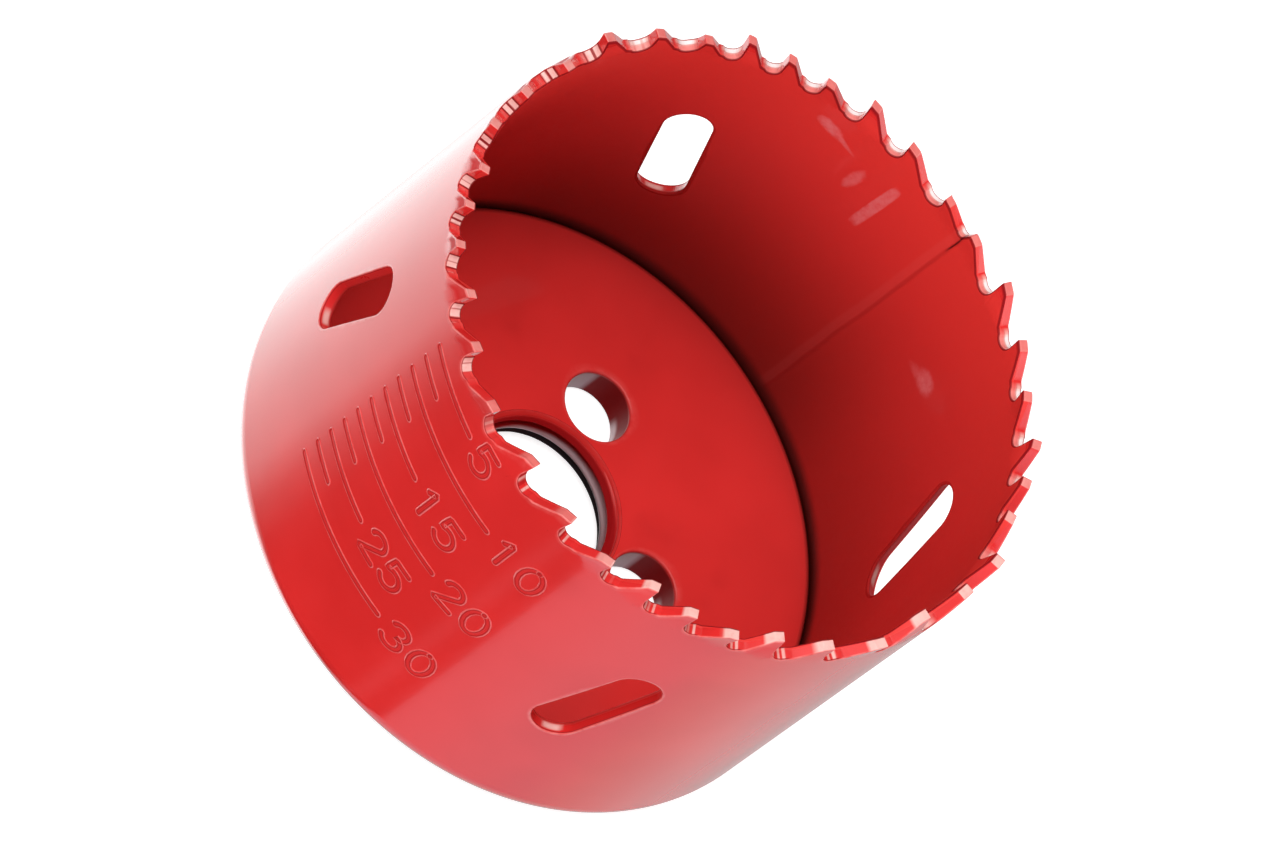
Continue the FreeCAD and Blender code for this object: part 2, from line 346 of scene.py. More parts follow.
# The rim line runs once round the saw: rake face, round gullet, shoulder, flank and
# land of every tooth, as (along, up). Each point of it carries a section over the wall's
# thickness, with rounded edges, down both sides to the strip. Above the gullets the
# section leans out, in or not at all.
def toothedEdge():
    angles, pitches, sides = toothPlan()
    count = len(angles)
    toDegrees = 180 / np.pi / saw["outerRadius"]
    depth = np.full(count, teeth["height"])
    depth[-1] = teeth["seamGulletDepth"]
    radius = teeth["gulletShare"] * pitches
    radius[-1] = teeth["seamGulletRadius"]
    rake = np.radians(np.full(count, teeth["rake"]))
    rake[-1] = np.radians(teeth["seamRake"])
    base = saw["tipHeight"] - rimDrop(angles)
    up = radius - depth
    along = (radius + up * np.sin(rake)) / np.cos(rake)
    end, rise = np.radians(teeth["gulletEnd"]), np.radians(teeth["shoulderAngle"])
    slope = np.tan(np.radians(teeth["landAngle"]))
    # the arc from the rake face round the floor to the ridge
    turn = np.linspace(0, 1, 11)[None, :]
    arcFrom = np.pi + -rake[:, None]
    arcTo = 1.5 * np.pi + end
    arc = arcFrom + (arcTo - arcFrom) * turn
    arcAlong = along[:, None] + radius[:, None] * np.cos(arc)
    arcUp = up[:, None] + radius[:, None] * np.sin(arc)
    footAlong = arcAlong[:, -1] + teeth["shoulderShare"] * pitches * np.cos(rise)
    footUp = arcUp[:, -1] + teeth["shoulderShare"] * pitches * np.sin(rise)
    landAlong = pitches * (1 - teeth["landShare"])
    landUp = -teeth["landShare"] * pitches * slope
    zero = np.zeros((count, 1))
    cornerAlong = np.concatenate([zero, arcAlong, footAlong[:, None], landAlong[:, None]], axis=1)
    cornerUp = np.concatenate([zero, arcUp, footUp[:, None], landUp[:, None]], axis=1)
    height = base[:, None] + cornerUp
    height[:, 0] = np.roll(base, 1)
    angle = angles[:, None] + cornerAlong * toDegrees
    perTooth = cornerAlong.shape[1]
    rim = np.stack([angle / toDegrees, height], axis=-1).reshape(-1, 2)
    lap = 360 / toDegrees
    padded = np.concatenate([rim[-1:] - [lap, 0], rim, rim[:1] + [lap, 0]])
    reach = np.full(perTooth, teeth["cornerRound"])
    reach[[0, -1, -3]] = teeth["tipRound"], teeth["landRound"], teeth["ridgeRound"]
    steps = 4
    rounded = softened(padded, np.tile(reach, count), steps).reshape(count, perTooth, steps, 2)
    flat = rounded.reshape(-1, 2)
    nextPoint = np.concatenate([flat[1:], flat[:1] + [lap, 0]]).reshape(count, perTooth, steps, 2)
    # a few more points on the long straight runs: how many spaces each of them has
    longRuns = {0: 6, perTooth - 2: 8, perTooth - 1: 8}
    rows, station = [], []
    for corner in range(perTooth):
        rows.append(rounded[:, corner])
        station.append(np.full(steps, corner) + np.linspace(0, 0.3, steps))
        if corner in longRuns:
            here, there = rounded[:, corner, -1], nextPoint[:, corner, -1]
            share = np.linspace(0, 1, longRuns[corner] + 1)[1:-1]
            rows.append(here[:, None] + (there - here)[:, None] * share[None, :, None])
            station.append(corner + 0.3 + 0.7 * share)
    profile = np.concatenate(rows, axis=1)
    station = np.concatenate(station)
    perLap = profile.shape[1]
    # a point before the gullet's floor belongs to the tooth that ends, one after it to the next
    floorStation = 1 + 10 * ((1.5 * np.pi - (np.pi - rake)) / (arcTo - (np.pi - rake)))
    ending = station[None, :] <= floorStation[:, None]
    side = np.where(ending, sides[:, None], np.roll(sides, -1)[:, None]).reshape(-1)
    ground, crescent, darkLine = (share.reshape(-1) for share in toothWearAndLight(station, angles, perTooth))
    rim = profile.reshape(-1, 2)
    # foot of each section on the strip: evenly spread from floor to floor, and kept under
    # the rake face where that undercuts
    stationAll = np.broadcast_to(station[None], (count, perLap)).reshape(-1)
    perTip = (angles / toDegrees, pitches, rake, depth)
    tipMm, pitchAll, rakeAll, depthAll = (np.repeat(values, perLap) for values in perTip)
    behind, run = teeth["footBehind"], teeth["footRun"]
    foot = tipMm - np.maximum(np.tan(rakeAll), 0.0) * depthAll
    footMm = np.where(stationAll < 2, foot - behind - run * smoothStep(2 - stationAll, 0, 2), rim[:, 0])
    nextFoot = tipMm + pitchAll - behind - run - teeth["footGap"]
    flankStart = perTooth - 2
    lateShare = np.clip((stationAll - flankStart) / (perTooth - flankStart), 0, 1)
    flankFoot = np.repeat(tipMm.reshape(count, perLap)[:, 0] + footAlong, perLap)
    footMm = np.where(stationAll > flankStart, flankFoot + (nextFoot - flankFoot) * lateShare, footMm)
    footMm = np.sort(footMm)
    # the outward normal of the rim line, for the rounded edges
    before, after = np.roll(rim, 1, axis=0), np.roll(rim, -1, axis=0)
    before[0] -= [lap, 0]
    after[-1] += [lap, 0]
    tangent = after - before
    tangent /= np.linalg.norm(tangent, axis=1, keepdims=True)
    normal = np.stack([-tangent[:, 1], tangent[:, 0]], axis=-1)
    bend = np.repeat(base - teeth["height"] + teeth["bendAboveGullet"], perLap)
    full = teeth["height"] - teeth["bendAboveGullet"]

    # The set grows with the height over the bend, slowly at first and then evenly.
    def leaned(alongMm, heightMm, radiusStart, outward):
        share = np.clip((heightMm - bend) / full, 0, 1.2)
        share = share * share / (share + teeth["bendEase"]) * (1 + teeth["bendEase"])
        shift = (side * teeth["set"] - outward * teeth["relief"]) * share
        return onCylinder(alongMm * toDegrees, radiusStart + shift, heightMm)

    drop, stepIn = roundedRow(teeth["paintRound"], 5)
    places, masks = [], []
    outer, inner = saw["outerRadius"], saw["innerRadius"]
    inGullet = (stationAll > 1.2) & (stationAll < perTooth - 2.3)
    sideShares = (0, 0.25, 0.5, 0.75, 0.9, 0.97)
    rimShares = (0.06, 0.22, 0.38, 0.46, 0.54, 0.74, 0.94)

    def addRow(spots, edge, bare, dark):
        places.append(spots)
        masks.append(maskRow(edge, bare, dark, ground))

    def onSide(share, startRadius, outward):
        start = rim - normal * drop[0]
        alongMm = footMm + (start[:, 0] - footMm) * share
        heightMm = saw["stripTop"] + (start[:, 1] - saw["stripTop"]) * share
        return leaned(alongMm, heightMm, startRadius, outward)

    turnAll = np.repeat(angles % 360, perLap)
    dullFrom, dullFull, dullFades, dullEnds = wear["dullTurns"]
    dull = wear["dull"] * smoothStep(turnAll, dullFrom, dullFull)
    dull = dull * (1 - smoothStep(turnAll, dullFades, dullEnds))
    dull = dull * smoothStep(rim[:, 1] - bend, *wear["dullUp"])
    # Rows from the outside over the rim to the inside. The pale rows by the outer edge are thin paint and
    # painted highlight, the dark rows painted shade, and the rim's pale share ground steel with painted
    # highlights and painted reflections.
    for share in sideShares:
        pale = 0.0 if share < 0.9 else wear["besideOuter"]
        addRow(onSide(share, outer, 1), pale, 0.0, dull if share > 0.6 else 0.0)
    for down, step in zip(drop, stepIn):
        spot = rim - normal * down
        onFace = step / teeth["paintRound"]
        outline = np.where(inGullet, wear["gulletOutline"], 0.0) * onFace
        bare = ground * onFace * (1 - outline)
        addRow(leaned(spot[:, 0], spot[:, 1], outer - step, 1), 1.0 - onFace * inGullet, bare, outline)
    outside = leaned(rim[:, 0], rim[:, 1], outer - teeth["paintRound"], 1)
    inside = leaned(rim[:, 0], rim[:, 1], inner + teeth["paintRound"], -1)
    for share in rimShares:
        fade = 1 - crescent * wear["crescentFade"] * smoothStep(share, 0.3, 0.6)
        middleLine = crescent * wear["crescentLine"] * (share == 0.46)
        addRow(outside + (inside - outside) * share, 0.0, ground * fade, np.maximum(darkLine, middleLine))
    for down, step in zip(drop[::-1], stepIn[::-1]):
        spot = rim - normal * down
        onFace = step / teeth["paintRound"]
        bare = ground * onFace * wear["innerBare"]
        addRow(leaned(spot[:, 0], spot[:, 1], inner + step, -1), 0.0, bare, wear["gulletOutline"])
    for share in sideShares[::-1]:
        addRow(onSide(share, inner, -1), 0.0, 0.0, wear["besideInner"] if share > 0.95 else 0.0)
    places.append(places[0])
    masks.append(masks[0])
    section = {"places": np.stack(places), "masks": np.stack(masks), "closed": True}
    return weldGrids("toothedEdge", [section], 1e-8)


# wall with its slots
slots = {
    "length": 14.75,
    "width": 4.8,
    "tilt": 17.0,
    "middle": 18.6,
    "edgeRound": 0.16,
    "angles": [-0.2, 91.1, 180.7, 269.9],
    "heights": [18.6, 18.1, 19.0, 18.8],
    # how much wider the punch left each slot outside, and narrower inside
    "widerOutside": [0.75, 0.3, 0.0, 0.05],
    "narrowerInside": [0.0, 0.0, 0.15, 0.0],
    # where in the lower end a painted glint shows, and how far it reaches, in degrees
    "glints": [14.0, 2.0, 6.0, 11.0],
    "glintReach": (4, 9),
    # how dark each slot's wall is, and its inner edge, as painted shade with less gloss
    "darkness": [0.7, 0.08, 0.12, 0.05],
    "outlines": [0.3, 0.3, 0.3, 0.05],
    # how much shows in the row beside the rounded edge, as painted highlight outside and
    # painted shade inside, and how dark the edge grows as painted shade where it turns into
    # the slot
    "besideOuter": 0.4,
    "besideInner": 0.7,
    "edgeDark": 0.75,
}


# All the directions of several sets, in order. The fixed ones all stay, and of the others
# only those that lie clear of them and of each other.
def unionAngles(fixed, *sets):
    clear = 4e-3
    fixed = np.unique(np.round(fixed % (2 * np.pi), 9))
    fixed = fixed[np.append(True, np.diff(fixed) > 1e-6)]
    others = np.sort(np.concatenate(sets) % (2 * np.pi))
    others = others[np.append(True, np.diff(others) > clear)]
    gap = np.abs((others[:, None] - fixed[None] + np.pi) % (2 * np.pi) - np.pi).min(axis=1)
    return np.sort(np.concatenate([fixed, others[gap > clear]]))


# Each quarter of the wall is a frame round one slot: rays from the slot's middle carry
# points from the slot's outline to the quarter's border, over the outside, through the
# slot's wall and back over the inside.
def slottedWall():
    halfWidth = slots["width"] / 2
    halfRun = slots["length"] / 2 - halfWidth
    tilt = np.radians(slots["tilt"])
    centreUp = saw["plateFace"] + slots["middle"]
    low, high = saw["weldHeight"], saw["stripTop"]
    quarter = np.pi / 4 * saw["outerRadius"]
    # directions of even steps along the slot's outline, and along the border
    step = np.linspace(0, 1, 40, endpoint=False)
    cap = np.pi * step
    outline = np.concatenate([
        np.stack([halfWidth * np.cos(cap), halfRun + halfWidth * np.sin(cap)], -1),
        np.stack([0 * step - halfWidth, halfRun - 2 * halfRun * step], -1),
        np.stack([halfWidth * np.cos(cap + np.pi), -halfRun + halfWidth * np.sin(cap + np.pi)], -1),
        np.stack([0 * step + halfWidth, -halfRun + 2 * halfRun * step], -1),
    ])
    across = outline[:, 0] * np.cos(tilt) + outline[:, 1] * np.sin(tilt)
    upward = -outline[:, 0] * np.sin(tilt) + outline[:, 1] * np.cos(tilt)
    slotDirections = np.arctan2(upward, across)[::2]
    side = np.linspace(-quarter, quarter, 49)
    standing = np.linspace(low - centreUp, high - centreUp, 13)
    border = np.concatenate([
        np.arctan2(0 * side + high - centreUp, side),
        np.arctan2(0 * side + low - centreUp, side),
        np.arctan2(standing, 0 * standing + quarter),
        np.arctan2(standing, 0 * standing - quarter),
    ])
    # the same directions left and right, so that the quarters' borders meet
    directions = unionAngles(np.concatenate([border, np.pi - border]), slotDirections, np.pi - slotDirections)
    right = directions[np.cos(directions) > 1e-9]
    directions = np.sort(np.concatenate([right, np.pi - right, [np.pi / 2, 1.5 * np.pi]]) % (2 * np.pi))
    rayAcross, rayUp = np.cos(directions), np.sin(directions)

    # Distance from the middle to the outline grown by that much, along each ray.
    def slotReach(grow):
        x = rayAcross * np.cos(tilt) - rayUp * np.sin(tilt)
        y = rayAcross * np.sin(tilt) + rayUp * np.cos(tilt)
        r = halfWidth + grow
        toSide = r / np.maximum(np.abs(x), 1e-9)
        toCap = halfRun * np.abs(y) + np.sqrt(np.maximum(r * r - (halfRun * x) ** 2, 0))
        return np.where(toSide * np.abs(y) <= halfRun, toSide, toCap)

    toBorder = np.minimum(
        quarter / np.maximum(np.abs(rayAcross), 1e-9),
        np.where(rayUp > 0, high - centreUp, centreUp - low) / np.maximum(np.abs(rayUp), 1e-9),
    )
    rounding = slots["edgeRound"]
    drop, stepIn = roundedRow(rounding, 5)
    outer, inner = saw["outerRadius"], saw["innerRadius"]
    shares = np.concatenate([np.linspace(1, 0.1, 20), [0.05, 0.02, 0.008]])

    # One slot's section. near is 1 at the slot, where the walls are parallel, and 0 at the
    # border, where the points spread evenly over the cylinder.
    def slotSection(number):
        wider, narrower = slots["widerOutside"][number], slots["narrowerInside"][number]
        darkness, shadeShare = slots["darkness"][number], slots["outlines"][number]
        rows, masks, shift = [], [], []
        glintAt = -0.5 * np.pi - tilt + np.radians(slots["glints"][number])
        away = np.abs((directions - glintAt + np.pi) % (2 * np.pi) - np.pi)
        glint = 1 - smoothStep(away, *np.radians(slots["glintReach"]))

        def addRow(reach, radius, near, edge, bare, dark):
            y, z = rayAcross * reach, centreUp + rayUp * reach
            straight = np.degrees(np.arcsin(np.clip(y / radius, -1, 1)))
            spread = np.degrees(y / saw["outerRadius"])
            rows.append(onCylinder(straight * near + spread * (1 - near), radius, z))
            masks.append(maskRow(edge, bare, dark, y))
            shift.append(near)

        # Pale rows at the outer edge are thin paint and painted highlight, dark rows painted shade, and the
        # pale spot in the slot's wall a painted glint.
        for share in shares:
            start = slotReach(rounding + wider)
            edge = slots["besideOuter"] if share < 0.01 else 0.0
            addRow(start + (toBorder - start) * share, outer, (1 - share) ** 2, edge, 0.0, 0.0)
        for down, step in zip(drop, stepIn):
            inHole = step / rounding
            edge, dark = 1 - smoothStep(inHole, 0.4, 0.8), slots["edgeDark"] * smoothStep(inHole, 0.5, 1.0)
            addRow(slotReach(down + wider), outer - step, 1.0, edge, 0.0, dark)
        for share in (0.1, 0.3, 0.5, 0.7, 0.9):
            reach = slotReach(wider - (wider + narrower) * share)
            radius = outer - rounding + (inner - outer + 2 * rounding) * share
            inMiddle = 1 - smoothStep(abs(share - 0.5), 0.15, 0.35)
            addRow(reach, radius, 1.0, 0.0, glint * inMiddle, darkness)
        for down, step in zip(drop[::-1], stepIn[::-1]):
            addRow(slotReach(down - narrower), inner + step, 1.0, 0.0, 0.0, shadeShare)
        for share in shares[::-1]:
            start = slotReach(rounding - narrower)
            dark = slots["besideInner"] * shadeShare if share < 0.01 else 0.0
            addRow(start + (toBorder - start) * share, inner, (1 - share) ** 2, 0.0, 0.0, dark)
        return np.stack(rows), np.stack(masks), np.array(shift)[:, None]

    grids = []
    for number in range(4):
        # the slot's own angle and height at the slot, fading to the quarter's at its border
        section, masks, shift = slotSection(number)
        quarterTurn = np.radians(90 * number)
        turn = quarterTurn + shift * (np.radians(slots["angles"][number]) - quarterTurn)
        turned = np.stack([
            section[..., 0] * np.cos(turn) - section[..., 1] * np.sin(turn),
            section[..., 0] * np.sin(turn) + section[..., 1] * np.cos(turn),
            section[..., 2] + shift * (slots["heights"][number] - slots["middle"]),
        ], axis=-1)
        grids.append({"places": turned, "masks": masks, "closed": True})
        # the wall's two flat ends close the gap between its outside and its inside
        borderUp = section[-1, :, 2]
        flatEnds = (np.abs(borderUp - high) < 1e-6) | (np.abs(borderUp - low) < 1e-6)
        runs = np.flatnonzero(flatEnds)
        splits = np.split(runs, np.flatnonzero(np.diff(runs) > 1) + 1)
        if len(splits) > 2 or (len(splits) == 2 and runs[0] == 0 and runs[-1] == len(flatEnds) - 1):
            splits = [np.concatenate([splits[-1], splits[0]])] + splits[1:-1]
        grids += [{"places": turned[[-1, 0]][:, run]} for run in splits if len(run) > 1]
    return weldGrids("slottedWall", grids)


# back plate with thread and pin holes
plate = {
    "radius": 30.3,
    "edgeRound": 0.25,
    "weldChamfer": 1.6,
    "boreRadius": 8.1,
    "boreFrontChamfer": 1.0,
    "boreBackChamfer": 0.8,
    "threadPitch": 1.5,
    "threadDepth": 0.8,
    # shares of half a pitch where a thread's root ends and its crest begins
    "threadFlats": (0.12, 0.95),
    "pinCircle": 13.2,
    "pinRadius": 3.6,
    "pinRound": 0.3,
    "pinTurn": 69.5,
    "flatFrom": 9.15,
    "flatTo": 28.6,
    # the bore's depths are marked from here up, so that the paint tells it from a pin hole
    "boreMark": 1.2,
    # how far down the bore's pale edge, a painted highlight, reaches, and how far from the wall
    # the dark corner, painted shade, begins and is full
    "paleLip": 0.12,
    "darkCorner": (0.65, 0.05),
}


# Each quarter of the flat part is a frame round one pin hole: rays from the hole's
# middle carry points from the border to the hole over the front, through the hole and
# back over the rear. The rim and the bore are rings turned about the axis; the bore's
# radius is the largest of the two chamfers and the thread, a V-shaped wave of height
# minus pitch times turn.
def threadedPlate():
    front = saw["plateFace"]
    centre, hole, lip = plate["pinCircle"], plate["pinRadius"], plate["pinRound"]
    inside, outside = plate["flatFrom"], plate["flatTo"]
    corner = np.pi / 4
    even = np.linspace(-corner, corner, 49)
    along = np.linspace(inside, outside, 9)
    spots = np.concatenate([
        inside * np.stack([np.cos(even), np.sin(even)], -1),
        outside * np.stack([np.cos(even), np.sin(even)], -1),
        along[:, None] * np.array([[np.cos(corner), np.sin(corner)]]),
    ])
    border = np.arctan2(spots[:, 1], spots[:, 0] - centre)
    holeDirections = np.linspace(0, 2 * np.pi, 48, endpoint=False)
    directions = unionAngles(np.concatenate([border, -border]), holeDirections)
    rayX, rayY = np.cos(directions), np.sin(directions)
    # distance from the hole's middle to the outer arc, the inner arc or a straight side
    b = centre * rayX
    toOuter = -b + np.sqrt(b * b - centre ** 2 + outside ** 2)
    under = b * b - centre ** 2 + inside ** 2
    toInner = np.where((under > 0) & (rayX < 0), -b - np.sqrt(np.maximum(under, 0)), 1e9)
    toSide = np.tan(corner) * centre / np.maximum(np.abs(rayY) - np.tan(corner) * rayX, 1e-9)
    reach = np.minimum(np.minimum(toOuter, toInner), toSide)
    rows, edge = [], []

    def addRow(distance, height, edgeValue):
        rows.append(np.stack([centre + rayX * distance, rayY * distance, height + 0 * rayX], -1))
        edge.append(edgeValue)

    shares = np.array([1, 0.7, 0.45, 0.25, 0.12, 0.05])
    lipReach = np.minimum(hole + lip, reach - 0.02)
    turn = np.linspace(0, np.pi / 2, 6)
    for share in shares:
        addRow(lipReach + (reach - lipReach) * share, front, 0.0)
    for angle in turn:
        addRow(lipReach - (lipReach - hole) * np.sin(angle), front - lip * (1 - np.cos(angle)), 1.0)
    for share in (0.05, 0.35, 0.65, 0.95):
        addRow(hole + 0 * rayX, front - lip - (front - 2 * lip) * share, 0.0)
    for angle in turn[::-1]:
        addRow(lipReach - (lipReach - hole) * np.sin(angle), lip * (1 - np.cos(angle)), 1.0)
    for share in shares[::-1]:
        addRow(lipReach + (reach - lipReach) * share, 0.0, 0.0)
    section = np.stack(rows)
    masks = maskRow(np.array(edge)[:, None], 0.0, (front - section[..., 2]) / front, section[..., 2])
    arcRadius = np.hypot(section[0, :, 0], section[0, :, 1])
    arcAngle = np.arctan2(section[0, :, 1], section[0, :, 0])
    grids, innerAngles, outerAngles = [], [], []
    for number in range(4):
        turnBy = np.radians(plate["pinTurn"] + 90 * number)
        cosine, sine = np.cos(turnBy), np.sin(turnBy)
        spin = np.array([[cosine, sine, 0], [-sine, cosine, 0], [0, 0, 1]])
        grids.append({"places": section @ spin, "masks": masks, "closed": True})
        innerAngles.append(np.sort(arcAngle[np.abs(arcRadius - inside) < 1e-6])[:-1] + turnBy)
        outerAngles.append(np.sort(arcAngle[np.abs(arcRadius - outside) < 1e-6])[:-1] + turnBy)
    innerAngles = np.degrees(np.concatenate(innerAngles))
    outerAngles = np.degrees(np.concatenate(outerAngles))
    # bore ring, from the front's flat through the thread to the rear's flat
    height = np.linspace(front, 0, 97)[:, None]
    wave = height / plate["threadPitch"] - innerAngles[None] / 360
    ridge = np.abs((wave % 1) - 0.5) * 2
    thread = plate["boreRadius"] + plate["threadDepth"] * (1 - smoothStep(ridge, *plate["threadFlats"]))
    coneFront = plate["boreRadius"] + height - (front - plate["boreFrontChamfer"])
    coneBack = plate["boreRadius"] + plate["boreBackChamfer"] - height
    boreRadius = np.maximum(np.maximum(coneFront, coneBack), thread)
    boreRadius[0] = np.minimum(boreRadius[0], inside - 0.02)
    boreRadius[-1] = np.minimum(boreRadius[-1], inside - 0.02)
    flatRow = boreRadius[:1] * 0 + inside
    boreRadius = np.concatenate([flatRow, boreRadius, flatRow])
    height = np.concatenate([height[:1], height, height[-1:]])
    bore = onCylinder(innerAngles[None] + 0 * boreRadius, boreRadius, height + 0 * boreRadius)
    lipped = np.exp(-((height - front) / plate["paleLip"]) ** 2)
    boreMasks = maskRow(lipped, 0.0, plate["boreMark"] + (front - height) / front, boreRadius)
    grids.append({"places": bore, "masks": boreMasks, "closed": True})
    # rim ring, from the front's flat over the small round edge to the rear's flat
    rimTurn = np.linspace(0, np.pi / 2, 5)
    full, small = plate["radius"], plate["edgeRound"]
    rimRadius = np.concatenate([
        [outside, full - 0.8, full - 0.6, full - small - 0.05],
        full - small + small * np.sin(rimTurn),
        [full, full - plate["weldChamfer"], outside],
    ])[:, None]
    rimHeight = np.concatenate([
        [front, front, front, front],
        front - small + small * np.cos(rimTurn),
        [plate["weldChamfer"], 0, 0],
    ])[:, None]
    outerAngles = outerAngles[None]
    rim = onCylinder(outerAngles + 0 * rimRadius, rimRadius, rimHeight + 0 * outerAngles)
    cornerFrom, cornerTo = plate["darkCorner"]
    inCorner = smoothStep(rimRadius, full - cornerFrom, full - cornerTo)
    # the second mask holds the painted shade of the corner at the wall here
    rimMasks = maskRow(0.0, inCorner, 0.0, rim[..., 0])
    grids.append({"places": rim, "masks": rimMasks, "closed": True, "flip": True})
    return weldGrids("threadedPlate", grids)


# rounded weld at the rear
rear = {"radius": 2.9, "steps": 14, "turns": 288}


# A closed outline turned about the axis: quarter circle outside, then the plate's
# chamfer and the wall's end.
def rearBead():
    turn = np.linspace(0, np.pi / 2, rear["steps"])
    bendStart = saw["outerRadius"] - rear["radius"]
    radii = np.concatenate([bendStart + rear["radius"] * np.cos(turn), [saw["innerRadius"]] * 2])
    heights = rear["radius"] - rear["radius"] * np.sin(turn)
    heights = np.concatenate([heights, [plate["weldChamfer"], rear["radius"]]])
    radii, heights = np.append(radii, radii[0])[:, None], np.append(heights, heights[0])[:, None]
    angles = np.linspace(0, 360, rear["turns"], endpoint=False)[None]
    places = onCylinder(angles + 0 * radii, radii, heights + 0 * angles)
    return weldGrids("rearBead", [{"places": places, "closed": True, "flip": True}])


# depth scale stamped in the wall
depthScale = {
    "strokeHalfWidth": 0.42,
    "ridgeHeight": 0.07,
    "floorHeight": 0.012,
    "sunk": -0.03,
    "digitHeight": 3.6,
    "digitWidth": 2.3,
    "digitGap": 1.1,
    "startAngle": 202.0,
    "longLine": 17.0,
    "shortLine": 9.0,
    "halfLine": 4.0,
    "numberGap": 1.6,
    "depthStep": 5.0,
    "depths": 6,
    # by row of the stroke's section: how pale its ridge is, as painted highlight, and how dark
    # its inner slope, as painted shade
    "pale": 0.75,
    "highlightRows": [0, 0, 0, 0.7, 1, 0.8, 0, 0, 0],
    "shadeRows": [0, 0, 0, 0, 0, 0.25, 0.65, 0.3, 0],
}


# Centre line of a digit in a box one wide and one high, from arcs and straight runs:
# an arc is a middle, two radii and its first and last angle.
def digitLine(digit):
    def arc(x, y, rx, ry, first, last):
        turn = np.radians(np.linspace(first, last, 15))
        return np.stack([x + rx * np.cos(turn), y + ry * np.sin(turn)], -1)

    lines = {
        "0": [arc(0.5, 0.5, 0.5, 0.5, 90, 450)],
        "1": [[(0.15, 0.78), (0.5, 1.0), (0.5, 0.0)]],
        "2": [arc(0.5, 0.72, 0.46, 0.28, 170, -20), [(0.0, 0.0), (1.0, 0.0)]],
        "3": [arc(0.48, 0.75, 0.44, 0.25, 160, -90), arc(0.46, 0.26, 0.5, 0.26, 88, -160)],
        "5": [[(0.92, 1.0), (0.1, 1.0), (0.04, 0.55)], arc(0.46, 0.33, 0.52, 0.33, 128, -150)],
    }
    return np.concatenate([np.asarray(part, float) for part in lines[digit]])


# Evenly spread points on an open line, one every step or closer.
def respaced(line, step):
    lengths = np.concatenate([[0], np.cumsum(np.linalg.norm(np.diff(line, axis=0), axis=1))])
    count = max(int(lengths[-1] / step) + 2, 3)
    spots = np.linspace(0, lengths[-1], count)
    return np.stack([np.interp(spots, lengths, line[:, 0]), np.interp(spots, lengths, line[:, 1])], -1)


# One stamped stroke: the outline of the line widened by each step of the section runs
# up one side, round the end, down the other and round the start. The section is a low
# ridge along both edges with a flat floor between them.
def stampedStroke(line, height):
    line = respaced(np.asarray(line, float), 0.22)
    along = np.gradient(line, axis=0)
    along /= np.linalg.norm(along, axis=1, keepdims=True)
    aside = np.stack([-along[:, 1], along[:, 0]], -1)
    turn = np.linspace(0, np.pi, 9)[1:-1, None]
    endCap = aside[-1] * np.cos(turn) + along[-1] * np.sin(turn)
    startCap = -aside[0] * np.cos(turn) - along[0] * np.sin(turn)
    lastSpot, firstSpot = (np.repeat(spot, len(turn), 0) for spot in (line[-1:], line[:1]))
    middles = np.concatenate([line, lastSpot, line[::-1], firstSpot])
    outwards = np.concatenate([aside, endCap, -aside[::-1], startCap])
    half, sunk = depthScale["strokeHalfWidth"], depthScale["sunk"]
    ridge, floorUp = depthScale["ridgeHeight"], depthScale["floorHeight"]
    section = np.array([
        (0.0, sunk), (half, sunk), (half, 0.0), (half - 0.04, ridge * 0.55), (half - 0.09, ridge),
        (half - 0.14, ridge * 0.9), (half - 0.2, ridge * 0.35), (half - 0.27, floorUp), (0.0, floorUp),
    ])
    flat = middles[None] + outwards[None] * section[:, :1, None]
    radius = saw["outerRadius"] + section[:, 1:] + 0 * flat[..., 0]
    angle = depthScale["startAngle"] + np.degrees(flat[..., 0] / saw["outerRadius"])
    # pale ridges as painted highlight, dark inner slopes as painted shade
    pale, dark = (np.array(depthScale[label])[:, None] for label in ("highlightRows", "shadeRows"))
    places = onCylinder(angle, radius, height + flat[..., 1])
    masks = maskRow(depthScale["pale"] * pale, 0.0, dark, radius)
    return {"places": places, "masks": masks, "closed": True, "flip": True}


# Lines at every five millimetres of cutting depth, longer at tens, with their numbers,
# and a short line half way to the next.
def stampedScale():
    width, tall = depthScale["digitWidth"], depthScale["digitHeight"]
    strokes = []
    for number in range(1, depthScale["depths"] + 1):
        depth = number * depthScale["depthStep"]
        height = saw["tipHeight"] - depth
        run = depthScale["shortLine"] if number % 2 else depthScale["longLine"]
        strokes.append(stampedStroke([(0, 0), (run, 0)], height))
        if number < depthScale["depths"]:
            below = height - depthScale["depthStep"] / 2
            strokes.append(stampedStroke([(0, 0), (depthScale["halfLine"], 0)], below))
        for column, digit in enumerate("%d" % depth):
            start = run + depthScale["numberGap"] + column * (width + depthScale["digitGap"])
            strokes.append(stampedStroke(digitLine(digit) * [width, tall] + [start, -tall / 2], height))
    return weldGrids("stampedScale", strokes)


edgePiece = toothedEdge()
wallPiece = slottedWall()
platePiece = threadedPlate()
weldPiece = rearBead()
scalePiece = stampedScale()
for piece in (edgePiece, wallPiece):
    trueCylinderNormals(piece)
for piece, node, slot in (
    (edgePiece, "tooth_edge", "painted_edge"),
    (wallPiece, "wall_strip", "painted_strip"),
    (platePiece, "back_plate", "painted_plate"),
    (weldPiece, "rear_weld", "painted_weld"),
):
    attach(piece, "root")
    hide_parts(node)
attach(scalePiece, "root")
print("pieces made")


# node helpers
# Fills a node's inputs, given by name, or by number as n0, n1 and so on: a socket is
# linked and a value is set.
def feed(tree, node, **inputs):
    for key, value in inputs.items():
        byNumber = key[0] == "n" and key[1:].isdigit()
        socket = node.inputs[int(key[1:]) if byNumber else key.replace("_", " ")]
        if isinstance(value, bpy.types.NodeSocket):
            tree.links.new(value, socket)
        else:
            socket.default_value = value
    return node


